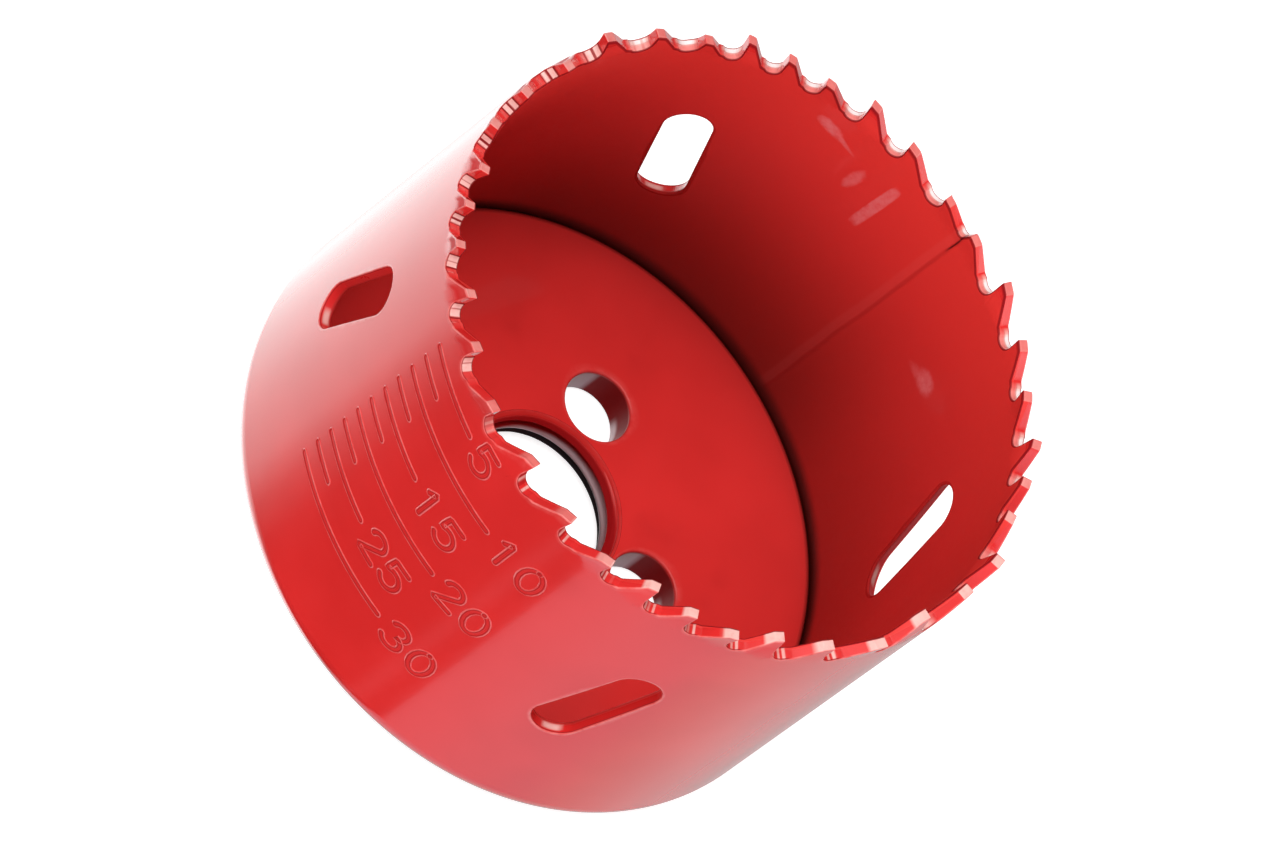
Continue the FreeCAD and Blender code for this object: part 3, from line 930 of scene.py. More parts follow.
def place(tree, kind, settings=None, **inputs):
    node = tree.nodes.new(kind)
    for key, value in (settings or {}).items():
        setattr(node, key, value)
    return feed(tree, node, **inputs)


def maths(tree, operation, *values, clamp=False):
    inputs = {"n%d" % number: value for number, value in enumerate(values)}
    return place(tree, "ShaderNodeMath", {"operation": operation, "use_clamp": clamp}, **inputs).outputs[0]


def times(tree, first, *factors, clamp=False):
    for number, factor in enumerate(factors):
        last = number == len(factors) - 1
        first = maths(tree, "MULTIPLY", first, factor, clamp=clamp and last)
    return first


def plus(tree, first, *terms, clamp=False):
    for number, term in enumerate(terms):
        last = number == len(terms) - 1
        first = maths(tree, "ADD", first, term, clamp=clamp and last)
    return first


def minus(tree, first, second):
    return maths(tree, "SUBTRACT", first, second)


# A noise value spread evenly about zero, that many wide.
def spread(tree, value, width):
    return maths(tree, "MULTIPLY_ADD", value, width, -width / 2)


# Smooth step from one value to another.
def ramp(tree, value, low, high, toLow=0.0, toHigh=1.0):
    settings = {"interpolation_type": "SMOOTHSTEP"}
    node = place(tree, "ShaderNodeMapRange", settings, n0=value, n1=low, n2=high, n3=toLow, n4=toHigh)
    return node.outputs[0]


def blendColour(tree, share, first, second):
    return place(tree, "ShaderNodeMix", {"data_type": "RGBA"}, n0=share, n6=first, n7=second).outputs[2]


def blendValue(tree, share, first, second):
    return place(tree, "ShaderNodeMix", {"data_type": "FLOAT"}, n0=share, n2=first, n3=second).outputs[0]


def noise(tree, where, scale, detail=2.0, roughness=0.5):
    node = place(tree, "ShaderNodeTexNoise", Vector=where, Scale=scale, Detail=detail, Roughness=roughness)
    return node.outputs["Fac"]


# A piece's own mask, by the name it has in the mesh.
def pointMask(tree, label):
    return place(tree, "ShaderNodeAttribute", {"attribute_name": label}).outputs["Fac"]


def objectPlace(tree):
    return tree.nodes.new("ShaderNodeTexCoord").outputs["Object"]


def xyz(tree, vector):
    return place(tree, "ShaderNodeSeparateXYZ", Vector=vector).outputs


# The place with the direction at that angle, in radians, turned onto X.
def turnedPlace(tree, where, angle):
    node = place(tree, "ShaderNodeVectorRotate", {"rotation_type": "Z_AXIS"}, Vector=where, Angle=angle)
    return xyz(tree, node.outputs[0])


# 1 inside the wall and 0 outside it, from the radius in mm between two steps over the
# inner radius.
def insideShare(tree, where, low, high):
    flat = place(tree, "ShaderNodeVectorMath", {"operation": "MULTIPLY"}, n0=where, n1=(1 / mm, 1 / mm, 0.0))
    radius = place(tree, "ShaderNodeVectorMath", {"operation": "LENGTH"}, n0=flat.outputs[0]).outputs["Value"]
    return ramp(tree, radius, saw["innerRadius"] + low, saw["innerRadius"] + high, 1.0, 0.0)


# A group, the sockets of its inputs and its output node. Inputs are given by name with
# their values, outputs as the names of its colours and of its values.
def startGroup(name, inputs, colours, values):
    group = bpy.data.node_groups.new(name, "ShaderNodeTree")
    for label, value in inputs.items():
        kind = "NodeSocketColor" if isinstance(value, tuple) else "NodeSocketFloat"
        group.interface.new_socket(label, in_out="INPUT", socket_type=kind).default_value = value
    for kind, labels in (("NodeSocketColor", colours), ("NodeSocketFloat", values)):
        for label in labels:
            group.interface.new_socket(label, in_out="OUTPUT", socket_type=kind)
    return group, group.nodes.new("NodeGroupInput").outputs, group.nodes.new("NodeGroupOutput")


def useGroup(tree, group, **inputs):
    return feed(tree, place(tree, "ShaderNodeGroup", {"node_tree": group}), **inputs).outputs


# paint, wear and scuffs
redPaint = {
    "body": (0.82, 0.029, 0.028, 1),
    "deep": (0.74, 0.023, 0.022, 1),
    "plateBody": (0.69, 0.030, 0.028, 1),
    "plateDeep": (0.62, 0.026, 0.024, 1),
    # thin paint on the edges, also used as painted highlight there and on the seam
    "thin": (0.92, 0.27, 0.25, 1),
    # ground steel, also used as painted highlight, painted reflection and painted glint
    "ground": (0.97, 0.60, 0.54, 1),
    # painted shade on the inside of the wall, darkest toward the plate
    "inside": (0.20, 0.012, 0.009, 1),
    # painted shade in the corners between the plate and the wall
    "corner": (0.05, 0.003, 0.002, 1),
    "insideBody": (0.74, 0.033, 0.030, 1),
    "insideTop": (0.80, 0.038, 0.032, 1),
    # painted shade down the holes
    "hole": (0.26, 0.004, 0.006, 1),
    # painted shade: dark outlines on edges, slots' walls, lines between the teeth's pale bands and the
    # strokes' inner slopes
    "outline": (0.13, 0.003, 0.008, 1),
    "seam": (0.22, 0.004, 0.006, 1),
    "crack": (0.03, 0.004, 0.004, 1),
    "bare": (0.52, 0.40, 0.42, 1),
    # painted shade deep in the bore
    "deepBoreShade": (0.03, 0.03, 0.032, 1),
    # bright painted reflection in the far gullets
    "brightReflection": (0.97, 0.84, 0.83, 1),
    "scuffed": (0.88, 0.34, 0.36, 1),
    "roughness": 0.17,
    "coat": 0.6,
    "coatRoughness": 0.06,
    "refraction": 1.5,
    "specular": 0.5,
    # height of the spray's bump and of the seam's, in mm
    "sprayBump": 0.010,
    "seamBump": 0.05,
}
# Scales of the spray's noises, and how much each of them changes roughness and height
spray = {
    "slowScale": 70.0, "fineScale": 1600.0, "rippleScale": 420.0, "deepShare": (0.35, 0.68),
    "fineRough": 0.08, "slowRough": 0.06, "fineHeight": 0.10,
}
# Breaks in the thin and the ground edges, and the mask from which the painted reflection
# turns brighter
edgeBreaks = {
    "thinScale": 700.0, "thinShare": (0.30, 0.62, 0.25, 1.0),
    "groundScale": 1100.0, "groundShare": (0.2, 0.6, 0.75, 1.0), "bright": (1.0, 1.6),
}
# How much the wall's pale edges of thin paint and painted highlight, ground steel and
# painted reflections, and dark outlines of painted shade show, and their roughness
wallCoat = {
    "edge": 0.6, "ground": 0.85, "edgeRoughness": 0.15, "outline": 0.9,
    "outlineShare": (0.02, 0.25), "outlineRoughness": 0.3, "outlineSpecular": 0.05,
}
# How much of the inside's painted shade shows, by height over the plate in mm, and the
# inside coat's gloss and roughness
insideShadeAndCoat = {
    "full": 0.5, "cornerEnd": 2.2, "none": 30.0, "mostShare": 0.62, "gloss": 0.15, "roughness": 0.30,
    # the painted shade is deeper still round this angle, within these degrees of it
    "darkestTurn": 72.0, "darkestShare": 0.33, "darkestFrom": 26.0, "darkestTo": 50.0,
    "topFrom": 22.0, "topTo": 36.0, "waverScale": 45.0,
}
# The seam's line, the ridge along it and the painted highlight where the strip's end stands
# beside it, by distance in mm, and how much each of them shows. The line is an open crack at
# the rim, from crackFrom up.
seamLook = {
    "wanderScale": 120.0, "wander": 0.5, "line": (0.05, 0.35), "ridge": (0.6, 2.4), "crack": (0.03, 0.14),
    "stepUp": (0.05, 0.3), "stepDown": (0.9, 1.3), "crackFrom": 37.6, "crackFull": 39.0,
    "ridgeHeight": 0.5, "lineHeight": 0.35, "lightShare": 0.05, "lineShare": 0.25, "crackShare": 0.9,
}
# A scuff's noises, as (scale, detail, roughness), and where it fades
scuffLook = {
    "ragged": (900.0, 3.0, 0.65), "raggedness": 1.2, "fade": (0.1, 1.3),
    "worn": (1500.0, 4.0, 0.7), "wornShare": (0.25, 0.65, 0.45, 1.0), "roughness": 0.8,
}
scuffs = [
    # angle, height over the origin, lean, half length, half width, squareness, strength
    (75.6, 37.6, 71.0, 1.9, 0.8, 2.0, 0.45),
    (73.2, 37.2, 71.0, 2.6, 0.35, 2.0, 0.35),
    (65.4, 34.1, -6.0, 1.9, 0.7, 2.0, 0.34),
    (59.1, 33.5, -2.0, 4.1, 0.62, 5.0, 0.42),
    (27.6, 27.3, -68.0, 1.6, 1.35, 2.0, 0.42),
    (29.0, 26.9, -68.0, 2.0, 0.8, 2.0, 0.20),
]


# Colour, roughness and bump of sprayed gloss paint: slow change of depth, fine
# grain, and a soft ripple.
def paintGroup():
    inputs = {"Body": redPaint["body"], "Deep": redPaint["deep"],
              "Roughness": redPaint["roughness"], "Ripple": 1.0}
    group, start, end = startGroup("sprayedPaint", inputs, ["Colour"], ["Roughness", "Height"])
    where = objectPlace(group)
    slow = noise(group, where, spray["slowScale"], 2.0)
    fine = noise(group, where, spray["fineScale"], 3.0)
    share = ramp(group, slow, *spray["deepShare"])
    grainy = spread(group, fine, spray["fineRough"])
    rough = plus(group, start["Roughness"], grainy, spread(group, slow, spray["slowRough"]), clamp=True)
    ripple = noise(group, where, spray["rippleScale"], 1.0)
    height = times(group, plus(group, ripple, times(group, fine, spray["fineHeight"])), start["Ripple"])
    colour = blendColour(group, share, start["Body"], start["Deep"])
    feed(group, end, Colour=colour, Roughness=rough, Height=height)
    return group


# Paint drawn thin over the edges, also standing in for painted highlights along them, and
# the pale ground steel, painted highlights and painted reflections on the teeth and the
# slots' painted glints, broken up by noise.
def edgeGroup():
    inputs = {"Colour": redPaint["body"], "Thin": redPaint["thin"], "Ground": redPaint["ground"],
              "Edge Amount": 0.5, "Ground Amount": 0.8}
    group, start, end = startGroup("thinEdgesAndHighlights", inputs, ["Colour"], ["Mask"])
    where = objectPlace(group)
    edge, ground = pointMask(group, "edgeMask"), pointMask(group, "wearAndLightMask")
    patchy = ramp(group, noise(group, where, edgeBreaks["thinScale"], 3.0, 0.6), *edgeBreaks["thinShare"])
    edgeShare = times(group, edge, start["Edge Amount"], patchy, clamp=True)
    patchy = ramp(group, noise(group, where, edgeBreaks["groundScale"], 2.0), *edgeBreaks["groundShare"])
    groundShare = times(group, ground, start["Ground Amount"], patchy, clamp=True)
    colour = blendColour(group, edgeShare, start["Colour"], start["Thin"])
    colour = blendColour(group, groundShare, colour, start["Ground"])
    # over 1 the mask means a brighter painted reflection
    colour = blendColour(group, ramp(group, ground, *edgeBreaks["bright"]), colour, redPaint["brightReflection"])
    feed(group, end, Colour=colour, Mask=maths(group, "MAXIMUM", edgeShare, groundShare))
    return group


# Share of painted shade on the inside of the wall: full in the corner at the plate, less
# with height, none near the teeth. Corner is a darker painted shade right at the plate, and
# Top is where the inside turns a lighter red near the teeth.
def insideShadeGroup():
    group, start, end = startGroup("insideShadeAndCoat", {"Waver": 3.0}, [], ["Mask", "Corner", "Within", "Top"])
    where = objectPlace(group)
    height = minus(group, times(group, xyz(group, where)["Z"], 1 / mm), saw["plateFace"])
    within = insideShare(group, where, 0.2, 0.5)
    waver = times(group, minus(group, noise(group, where, insideShadeAndCoat["waverScale"]), 0.5), start["Waver"])
    coat = ramp(group, plus(group, height, waver), 0.0, insideShadeAndCoat["none"], 1.0, 0.0)
    turned = turnedPlace(group, where, -math.radians(insideShadeAndCoat["darkestTurn"]))
    away = maths(group, "ABSOLUTE", maths(group, "ARCTAN2", turned["Y"], turned["X"]))
    darkestFrom, darkestTo = math.radians(insideShadeAndCoat["darkestFrom"]), math.radians(insideShadeAndCoat["darkestTo"])
    most = insideShadeAndCoat["mostShare"]
    coat = times(group, coat, ramp(group, away, darkestFrom, darkestTo, most + insideShadeAndCoat["darkestShare"], most))
    corner = ramp(group, height, insideShadeAndCoat["full"], insideShadeAndCoat["cornerEnd"], 1.0, 0.0)
    top = ramp(group, height, insideShadeAndCoat["topFrom"], insideShadeAndCoat["topTo"])
    feed(group, end, Within=within, Mask=times(group, coat, within),
         Corner=times(group, corner, within), Top=times(group, top, within))
    return group


# Mask of one scuff on the inside of the wall: a leaning patch, round or square, with
# broken edges. Angle and lean are in degrees, lengths in mm.
def scuffGroup():
    inputs = {"Angle": 0.0, "Height": 0.0, "Lean": 0.0,
              "Half Length": 2.0, "Half Width": 1.0, "Squareness": 2.0}
    group, start, end = startGroup("scuffMark", inputs, [], ["Mask"])
    where = objectPlace(group)
    degrees = math.pi / 180
    turned = turnedPlace(group, where, times(group, start["Angle"], -degrees))
    across = times(group, turned["Y"], 1 / mm)
    up = minus(group, times(group, turned["Z"], 1 / mm), start["Height"])
    lean = times(group, start["Lean"], degrees)
    cosine, sine = maths(group, "COSINE", lean), maths(group, "SINE", lean)
    along = plus(group, times(group, up, cosine), times(group, across, sine))
    aside = minus(group, times(group, across, cosine), times(group, up, sine))

    # A distance over the half size, to the power of the squareness.
    def part(distance, half):
        share = maths(group, "ABSOLUTE", maths(group, "DIVIDE", distance, half))
        return maths(group, "POWER", share, start["Squareness"])

    ragged = spread(group, noise(group, where, *scuffLook["ragged"]), scuffLook["raggedness"])
    reach = plus(group, part(along, start["Half Length"]), part(aside, start["Half Width"]), ragged)
    patch = ramp(group, reach, *scuffLook["fade"], 1.0, 0.0)
    worn = ramp(group, noise(group, where, *scuffLook["worn"]), *scuffLook["wornShare"])
    ahead = ramp(group, turned["X"], 0.0, mm)
    inside = times(group, insideShare(group, where, 0.2, 0.3), ahead)
    feed(group, end, Mask=times(group, times(group, patch, worn), inside, clamp=True))
    return group


# The weld line up the wall: a fine groove with a low ridge each side. Puts out a dark
# line mask, a height, the open crack at the rim and a painted highlight along the strip's end.
def seamGroup():
    outputs = ["Mask", "Height", "Crack", "Light"]
    group, start, end = startGroup("seamLine", {"Angle": saw["seamAngle"]}, [], outputs)
    where = objectPlace(group)
    turned = turnedPlace(group, where, times(group, start["Angle"], -math.pi / 180))
    wander = spread(group, noise(group, where, seamLook["wanderScale"]), seamLook["wander"])
    across = plus(group, times(group, turned["Y"], 1 / mm), wander)
    ahead = ramp(group, turned["X"], 0.0, mm)
    distance = maths(group, "ABSOLUTE", across)
    # the strip's end stands up on one side of the line, and gets a painted highlight
    stepDown = ramp(group, across, *seamLook["stepDown"], 1.0, 0.0)
    step = times(group, ramp(group, across, *seamLook["stepUp"]), stepDown)
    line, ridge, crack = (times(group, ramp(group, distance, *seamLook[label], 1.0, 0.0), ahead)
                          for label in ("line", "ridge", "crack"))
    ridgeUp = times(group, ridge, seamLook["ridgeHeight"])
    height = minus(group, ridgeUp, times(group, line, seamLook["lineHeight"]))
    high = ramp(group, times(group, turned["Z"], 1 / mm), seamLook["crackFrom"], seamLook["crackFull"])
    feed(group, end, Mask=line, Height=height,
         Crack=times(group, crack, high), Light=times(group, step, ahead))
    return group


sprayedPaint, thinEdgesAndHighlights, scuffMark, seamLine = paintGroup(), edgeGroup(), scuffGroup(), seamGroup()
insideShade = insideShadeGroup()


def newMaterial(name):
    material = bpy.data.materials.new(name)
    material.use_nodes = True
    tree = material.node_tree
    refraction = redPaint["refraction"]
    shader = feed(tree, tree.nodes["Principled BSDF"], IOR=refraction, Coat_IOR=refraction,
                  Coat_Weight=redPaint["coat"], Coat_Roughness=redPaint["coatRoughness"])
    return material, tree, shader


# Normal of a bump whose height is in mm.
def bump(tree, height):
    return place(tree, "ShaderNodeBump", Strength=1.0, Distance=mm, Height=height).outputs["Normal"]


def wallPaint():
    material, tree, shader = newMaterial("wallPaint")
    sprayed = useGroup(tree, sprayedPaint, Ripple=1.0)
    seam = useGroup(tree, seamLine)
    inside = useGroup(tree, insideShade)
    colour = blendColour(tree, inside["Within"], sprayed["Colour"], redPaint["insideBody"])
    colour = blendColour(tree, inside["Top"], colour, redPaint["insideTop"])
    # painted shade on the inside, deepest toward the plate
    colour = blendColour(tree, inside["Mask"], colour, redPaint["inside"])
    # the seam's painted highlight, dark line and crack
    for label, share, tint in (
        ("Light", "lightShare", "thin"),
        ("Mask", "lineShare", "seam"),
        ("Crack", "crackShare", "crack"),
    ):
        colour = blendColour(tree, times(tree, seam[label], seamLook[share]), colour, redPaint[tint])
    # painted shade in the corner at the plate
    colour = blendColour(tree, inside["Corner"], colour, redPaint["corner"])
    edges = useGroup(tree, thinEdgesAndHighlights, Colour=colour, Edge_Amount=wallCoat["edge"],
                     Ground_Amount=wallCoat["ground"])
    # The dark mask is painted shade on edges, slots' walls, the teeth and the strokes, with less gloss there.
    outline = pointMask(tree, "depthMask")
    shadeShare = times(tree, outline, wallCoat["outline"])
    colour = blendColour(tree, shadeShare, edges["Colour"], redPaint["outline"])
    scuffed = None
    for angle, height, lean, halfLength, halfWidth, squareness, strength in scuffs:
        mark = useGroup(tree, scuffMark, Angle=angle, Height=height, Lean=lean, Half_Length=halfLength,
                        Half_Width=halfWidth, Squareness=squareness)
        share = times(tree, mark["Mask"], strength)
        scuffed = share if scuffed is None else maths(tree, "MAXIMUM", scuffed, share)
    colour = blendColour(tree, scuffed, colour, redPaint["scuffed"])
    rough = plus(tree, sprayed["Roughness"], times(tree, scuffed, scuffLook["roughness"]))
    rough = plus(tree, rough, times(tree, inside["Within"], insideShadeAndCoat["roughness"]))
    rough = plus(tree, rough, times(tree, edges["Mask"], wallCoat["edgeRoughness"]), clamp=True)
    gloss = ramp(tree, inside["Within"], 0.0, 1.0, redPaint["coat"], insideShadeAndCoat["gloss"])

    # Changes from one value to another as the outline's painted shade grows dark.
    def toShaded(plain, dark):
        return ramp(tree, outline, *wallCoat["outlineShare"], plain, dark)

    gloss = times(tree, gloss, toShaded(1.0, 0.0))
    rough = plus(tree, rough, toShaded(0.0, wallCoat["outlineRoughness"]), clamp=True)
    sprayHeight = times(tree, sprayed["Height"], redPaint["sprayBump"])
    height = plus(tree, sprayHeight, times(tree, seam["Height"], redPaint["seamBump"]))
    feed(tree, shader, Base_Color=colour, Roughness=rough, Coat_Weight=gloss, Normal=bump(tree, height),
         Specular_IOR_Level=toShaded(redPaint["specular"], wallCoat["outlineSpecular"]))
    return material


# Bare steel, painted shade and bare steel placed as painted reflection on the plate: pairs
# are shares of the depth down a hole, and mirroredBare and lower are the cosines from a turn
# that a pin hole's wall fades between
plateCoat = {
    "bare": (0.44, 0.50), "black": (0.54, 0.66), "boreThin": (0.07, 0.15), "holeThin": (0.01, 0.14),
    "mirroredTurn": 305.0, "mirroredBare": (0.80, 0.92), "lowerTurn": 170.0, "lower": (0.80, 0.95),
    "mirroredDepth": (0.06, 0.16), "lowerDepth": (0.55, 0.8), "mirroredShare": 0.95,
    "unevenScale": 160.0, "uneven": 0.5, "boreUneven": 0.12, "holeUneven": 0.3,
    "ripple": 0.8, "edge": 0.12, "thinShare": 0.9, "thinRoughness": 0.3, "bareMetal": 0.4,
    "boreFrom": (1.0, 1.15), "dullBy": 0.8, "paintedShare": (0.2, 0.9), "holeSpecular": 0.1,
}


# Share of a wall whose normal points to a turn about the axis, by the dot product.
def facing(tree, normal, turn, low, high):
    direction = (math.cos(math.radians(turn)), math.sin(math.radians(turn)), 0.0)
    dot = place(tree, "ShaderNodeVectorMath", {"operation": "DOT_PRODUCT"}, n0=normal, n1=direction)
    return ramp(tree, dot.outputs["Value"], low, high)


# Paint on the faces, thinner, duller and darker down the holes as painted shade, until the
# bare steel of the thread, which turns black deeper in the bore as painted shade.
def platePaint():
    material, tree, shader = newMaterial("platePaint")
    sprayed = useGroup(tree, sprayedPaint, Body=redPaint["plateBody"], Deep=redPaint["plateDeep"],
                       Ripple=plateCoat["ripple"])
    edges = useGroup(tree, thinEdgesAndHighlights, Colour=sprayed["Colour"], Edge_Amount=plateCoat["edge"],
                     Ground_Amount=0.0)
    inCorner, depth = pointMask(tree, "wearAndLightMask"), pointMask(tree, "depthMask")
    # painted shade in the corner at the wall
    colour = blendColour(tree, inCorner, edges["Colour"], redPaint["corner"])
    texture = tree.nodes.new("ShaderNodeTexCoord").outputs
    uneven = spread(tree, noise(tree, texture["Object"], plateCoat["unevenScale"]), plateCoat["uneven"])
    inBore = ramp(tree, depth, *plateCoat["boreFrom"])
    down = plus(tree, minus(tree, depth, plate["boreMark"]), times(tree, uneven, plateCoat["boreUneven"]))
    inHoles = plus(tree, depth, times(tree, uneven, plateCoat["holeUneven"]))
    inHoles = ramp(tree, inHoles, *plateCoat["holeThin"])
    thin = blendValue(tree, inBore, inHoles, ramp(tree, down, *plateCoat["boreThin"]))
    bareBore = times(tree, inBore, ramp(tree, down, *plateCoat["bare"]))
    black = times(tree, inBore, ramp(tree, down, *plateCoat["black"]))
    # bare steel on the pin holes' walls that face one turn, and low down on those facing
    # another, placed by facing as painted reflection
    inPinHole = times(tree, ramp(tree, depth, *plateCoat["mirroredDepth"]), minus(tree, 1.0, inBore))
    mirroredBare = facing(tree, texture["Normal"], plateCoat["mirroredTurn"], *plateCoat["mirroredBare"])
    mirroredBare = times(tree, inPinHole, mirroredBare)
    lower = facing(tree, texture["Normal"], plateCoat["lowerTurn"], *plateCoat["lower"])
    lower = times(tree, lower, ramp(tree, depth, *plateCoat["lowerDepth"]), inPinHole)
    mirroredBare = maths(tree, "MAXIMUM", mirroredBare, lower)
    bare = maths(tree, "MAXIMUM", bareBore, times(tree, mirroredBare, plateCoat["mirroredShare"]))
    painted = times(tree, thin, minus(tree, 1.0, bare))
    # painted shade down the holes, then bare steel, then black deep in the bore as painted shade
    colour = blendColour(tree, times(tree, thin, plateCoat["thinShare"]), colour, redPaint["hole"])
    colour = blendColour(tree, bare, colour, redPaint["bare"])
    colour = blendColour(tree, black, colour, redPaint["deepBoreShade"])
    rough = plus(tree, sprayed["Roughness"], times(tree, thin, plateCoat["thinRoughness"]), clamp=True)
    dull = maths(tree, "MAXIMUM", thin, inCorner)
    coat = ramp(tree, dull, 0.0, plateCoat["dullBy"], redPaint["coat"], 0.0)
    plain, inHole = redPaint["specular"], plateCoat["holeSpecular"]
    specular = ramp(tree, painted, *plateCoat["paintedShare"], plain, inHole)
    feed(tree, shader, Base_Color=colour, Metallic=times(tree, bare, plateCoat["bareMetal"]), Roughness=rough,
         Coat_Weight=coat, Specular_IOR_Level=specular,
         Normal=bump(tree, times(tree, sprayed["Height"], redPaint["sprayBump"])))
    return material


wallMaterial, plateMaterial = wallPaint(), platePaint()
for piece in (edgePiece, wallPiece, weldPiece, scalePiece):
    piece.data.materials.append(wallMaterial)
platePiece.data.materials.append(plateMaterial)
print("materials made")


# floor, reflection cards and lamps
studio = {
    # the floor is pale to the camera and takes the saw's soft shadow
    "floorColour": (0.5, 0.5, 0.5, 1),
    "floorGlow": 0.85,
    "floorHalf": 3,
    # the floor lies this far under the saw, so that the two faces aren't one
    "floorGap": 0.00005,
    "lampDistance": 2.5,
    "lampSize": 1.6,
    # azimuth, elevation, power in watts
    "lamps": {
        "farLamp": (0, 10, 33),
        "ceilingLamp": (200, 78, 26),
        "backLamp": (110, 78, 24),
        "lowLamp": (270, 10, 21),
        "sideLamp": (190, 35, 15),
        "frontLamp": (240, 10, 13),
        "cameraLamp": (237, 35, 11),
    },
    # brightness of the cards that the paint mirrors, by azimuth: under the horizon, from
    # there up to a third of the way, and above that
    "lowCards": [
        (0, 0.69), (30, 0.53), (50, 0.56), (75, 1.55), (120, 1.8), (150, 1.55),
        (159, 1.4), (173, 0.45), (187, 0.06), (200, 0.0), (245, 0.0), (250, 0.22),
        (255, 0.0), (261.5, 0.0), (263, 0.74), (290, 0.84), (330, 0.69), (360, 0.69),
    ],
    "sideCards": [
        (0, 1.1), (20, 0.9), (40, 0.1), (160, 0.05), (180, 0.6),
        (200, 0.05), (285, 0.1), (300, 1.5), (330, 2.0), (360, 1.1),
    ],
    "highCards": [
        (0, 0.1), (125, 0.1), (150, 0.95), (185, 0.95), (240, 0.4), (270, 0.8), (300, 0.3), (360, 0.1),
    ],
    "brightest": 2.5,
    # heights, of a direction one long, between which one ring turns into the next
    "lowToSide": (-0.3, -0.12),
    "sideToHigh": (0.4, 0.55),
    # the cards on the near right are a little blue, within these shares of a turn
    "blueTint": (0.95, 0.88, 1.0, 1),
    "blueMiddle": 285.0,
    "blueReach": (0.08, 0.14),
}


def makeFloor():
    mesh = bpy.data.meshes.new("floor")
    low, half = -studio["floorGap"], studio["floorHalf"]
    corners = [(-half, -half, low), (half, -half, low), (half, half, low), (-half, half, low)]
    mesh.from_pydata(corners, [], [(0, 1, 2, 3)])
    floor = bpy.data.objects.new("floor", mesh)
    bpy.context.scene.collection.objects.link(floor)
    material = bpy.data.materials.new("floorPaint")
    material.use_nodes = True
    tree = material.node_tree
    tree.nodes.clear()
    matt = place(tree, "ShaderNodeBsdfDiffuse", Color=studio["floorColour"])
    seen = tree.nodes.new("ShaderNodeLightPath").outputs["Is Camera Ray"]
    glow = place(tree, "ShaderNodeEmission", Strength=times(tree, seen, studio["floorGlow"]))
    both = place(tree, "ShaderNodeAddShader", n0=matt.outputs[0], n1=glow.outputs[0])
    place(tree, "ShaderNodeOutputMaterial", Surface=both.outputs[0])
    mesh.materials.append(material)
    # the paint mirrors the cards round the saw instead of the floor
    floor.visible_glossy = False


# Brightness of one ring of cards from the turn about the axis, 0 to 1.
def cardRing(tree, turn, cards):
    node = tree.nodes.new("ShaderNodeValToRGB")
    stops = node.color_ramp.elements
    for number, (angle, bright) in enumerate(cards):
        last = number == len(cards) - 1
        stop = stops[0] if number == 0 else stops[-1] if last else stops.new(angle / 360)
        grey = bright / studio["brightest"]
        stop.color = (grey, grey, grey, 1)
    tree.links.new(turn, node.inputs[0])
    return times(tree, node.outputs["Color"], studio["brightest"])


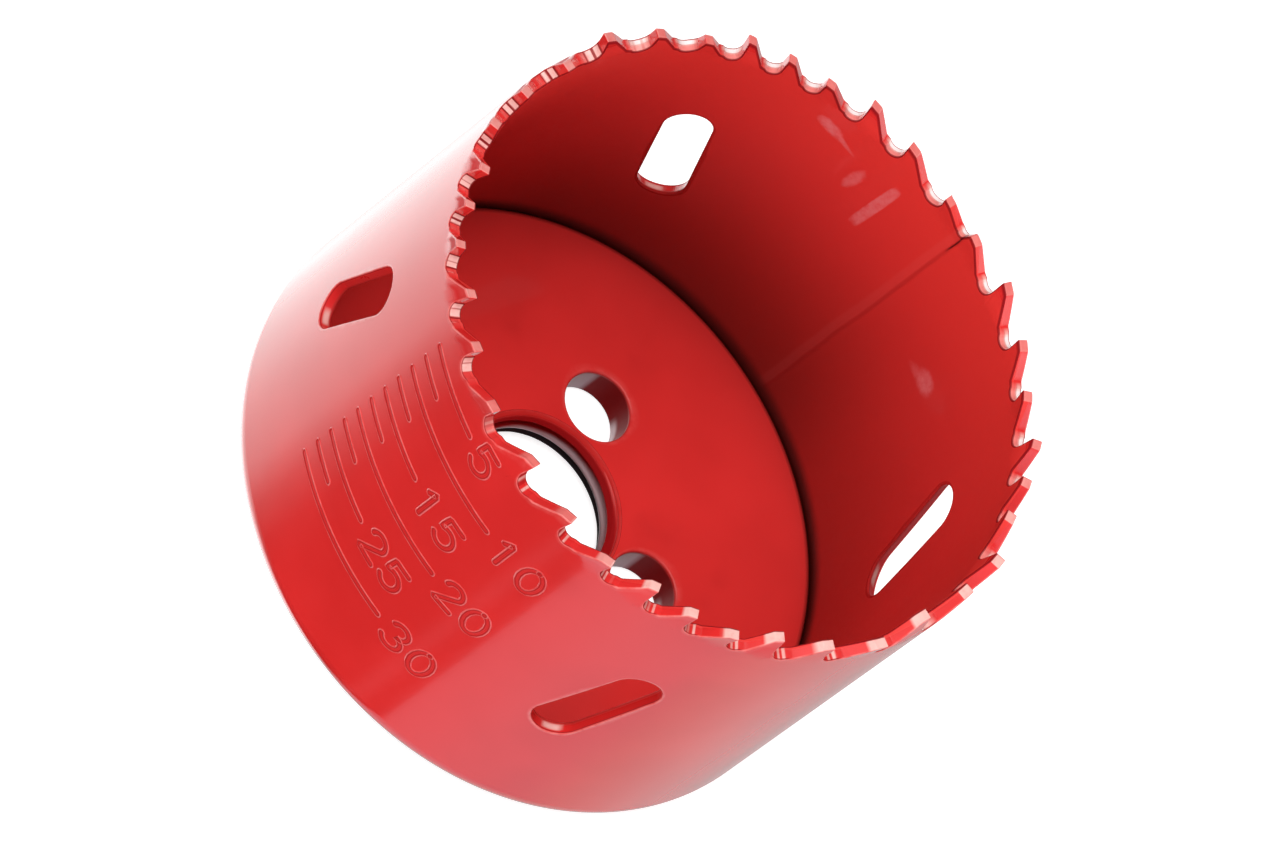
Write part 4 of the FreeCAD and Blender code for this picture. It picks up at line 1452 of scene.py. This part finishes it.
# World: white to the camera and through transparent things. Paint and metal mirror
# three rings of pale cards, one over the other.
def makeWorld():
    world = bpy.data.worlds.new("studio")
    world.use_nodes = True
    tree = world.node_tree
    ray = tree.nodes.new("ShaderNodeLightPath").outputs
    parts = xyz(tree, tree.nodes.new("ShaderNodeTexCoord").outputs["Generated"])
    azimuth = maths(tree, "ARCTAN2", parts["Y"], parts["X"])
    turn = maths(tree, "FRACT", plus(tree, maths(tree, "DIVIDE", azimuth, 2 * math.pi), 1.0))
    low, side, high = (cardRing(tree, turn, studio[name]) for name in ("lowCards", "sideCards", "highCards"))
    ring = blendValue(tree, ramp(tree, parts["Z"], *studio["lowToSide"]), low, side)
    ring = blendValue(tree, ramp(tree, parts["Z"], *studio["sideToHigh"]), ring, high)
    away = maths(tree, "ABSOLUTE", minus(tree, turn, studio["blueMiddle"] / 360))
    bluish = times(tree, ramp(tree, away, *studio["blueReach"], 1.0, 0.0), ray["Is Glossy Ray"])
    white = plus(tree, ray["Is Camera Ray"], ray["Is Transmission Ray"], clamp=True)
    mirrored = times(tree, ray["Is Glossy Ray"], ring)
    feed(tree, tree.nodes["Background"], Strength=plus(tree, white, mirrored),
         Color=blendColour(tree, bluish, (1, 1, 1, 1), studio["blueTint"]))
    bpy.context.scene.world = world


# Direction of an azimuth and an elevation in degrees.
def towards(azimuth, elevation):
    around, up = math.radians(azimuth), math.radians(elevation)
    return Vector((math.cos(up) * math.cos(around), math.cos(up) * math.sin(around), math.sin(up)))


def makeLamps():
    for name, (azimuth, elevation, power) in studio["lamps"].items():
        lamp = bpy.data.objects.new(name, bpy.data.lights.new(name, "AREA"))
        lamp.data.shape = "DISK"
        lamp.data.size = studio["lampSize"]
        lamp.data.energy = power
        away = towards(azimuth, elevation)
        lamp.location = away * studio["lampDistance"]
        lamp.rotation_euler = away.to_track_quat("Z", "Y").to_euler()
        lamp.visible_glossy = False
        bpy.context.scene.collection.objects.link(lamp)


makeFloor()
makeWorld()
makeLamps()
print("floor, world and lamps made")

view = {
    "azimuth": 233.692,
    "elevation": 49.671,
    "roll": -52.914,
    "distance": 1.25024,
    "target": (0.000196, -0.000144, 0.022208),
    "lens": 373.444,
    "sensor": 36,
    "farthest": 20,
}


# The camera stands at an azimuth, elevation and distance from the target, looks at
# it, and is turned about its line of sight by the roll.
def aimCamera():
    back = towards(view["azimuth"], view["elevation"])
    right = Vector((0, 0, 1)).cross(back).normalized()
    up = back.cross(right)
    roll = math.radians(view["roll"])
    turnedUp = up * math.cos(roll) + right * math.sin(roll)
    turnedRight = turnedUp.cross(back)
    camera = bpy.data.objects.new("camera", bpy.data.cameras.new("camera"))
    camera.data.sensor_width = view["sensor"]
    camera.data.lens = view["lens"]
    camera.data.clip_end = view["farthest"]
    pose = Matrix((turnedRight, turnedUp, back)).transposed().to_4x4()
    pose.translation = Vector(view["target"]) + back * view["distance"]
    camera.matrix_world = pose
    bpy.context.scene.collection.objects.link(camera)
    bpy.context.scene.camera = camera


aimCamera()
bpy.context.scene.view_settings.view_transform = "Standard"
print("camera aimed")
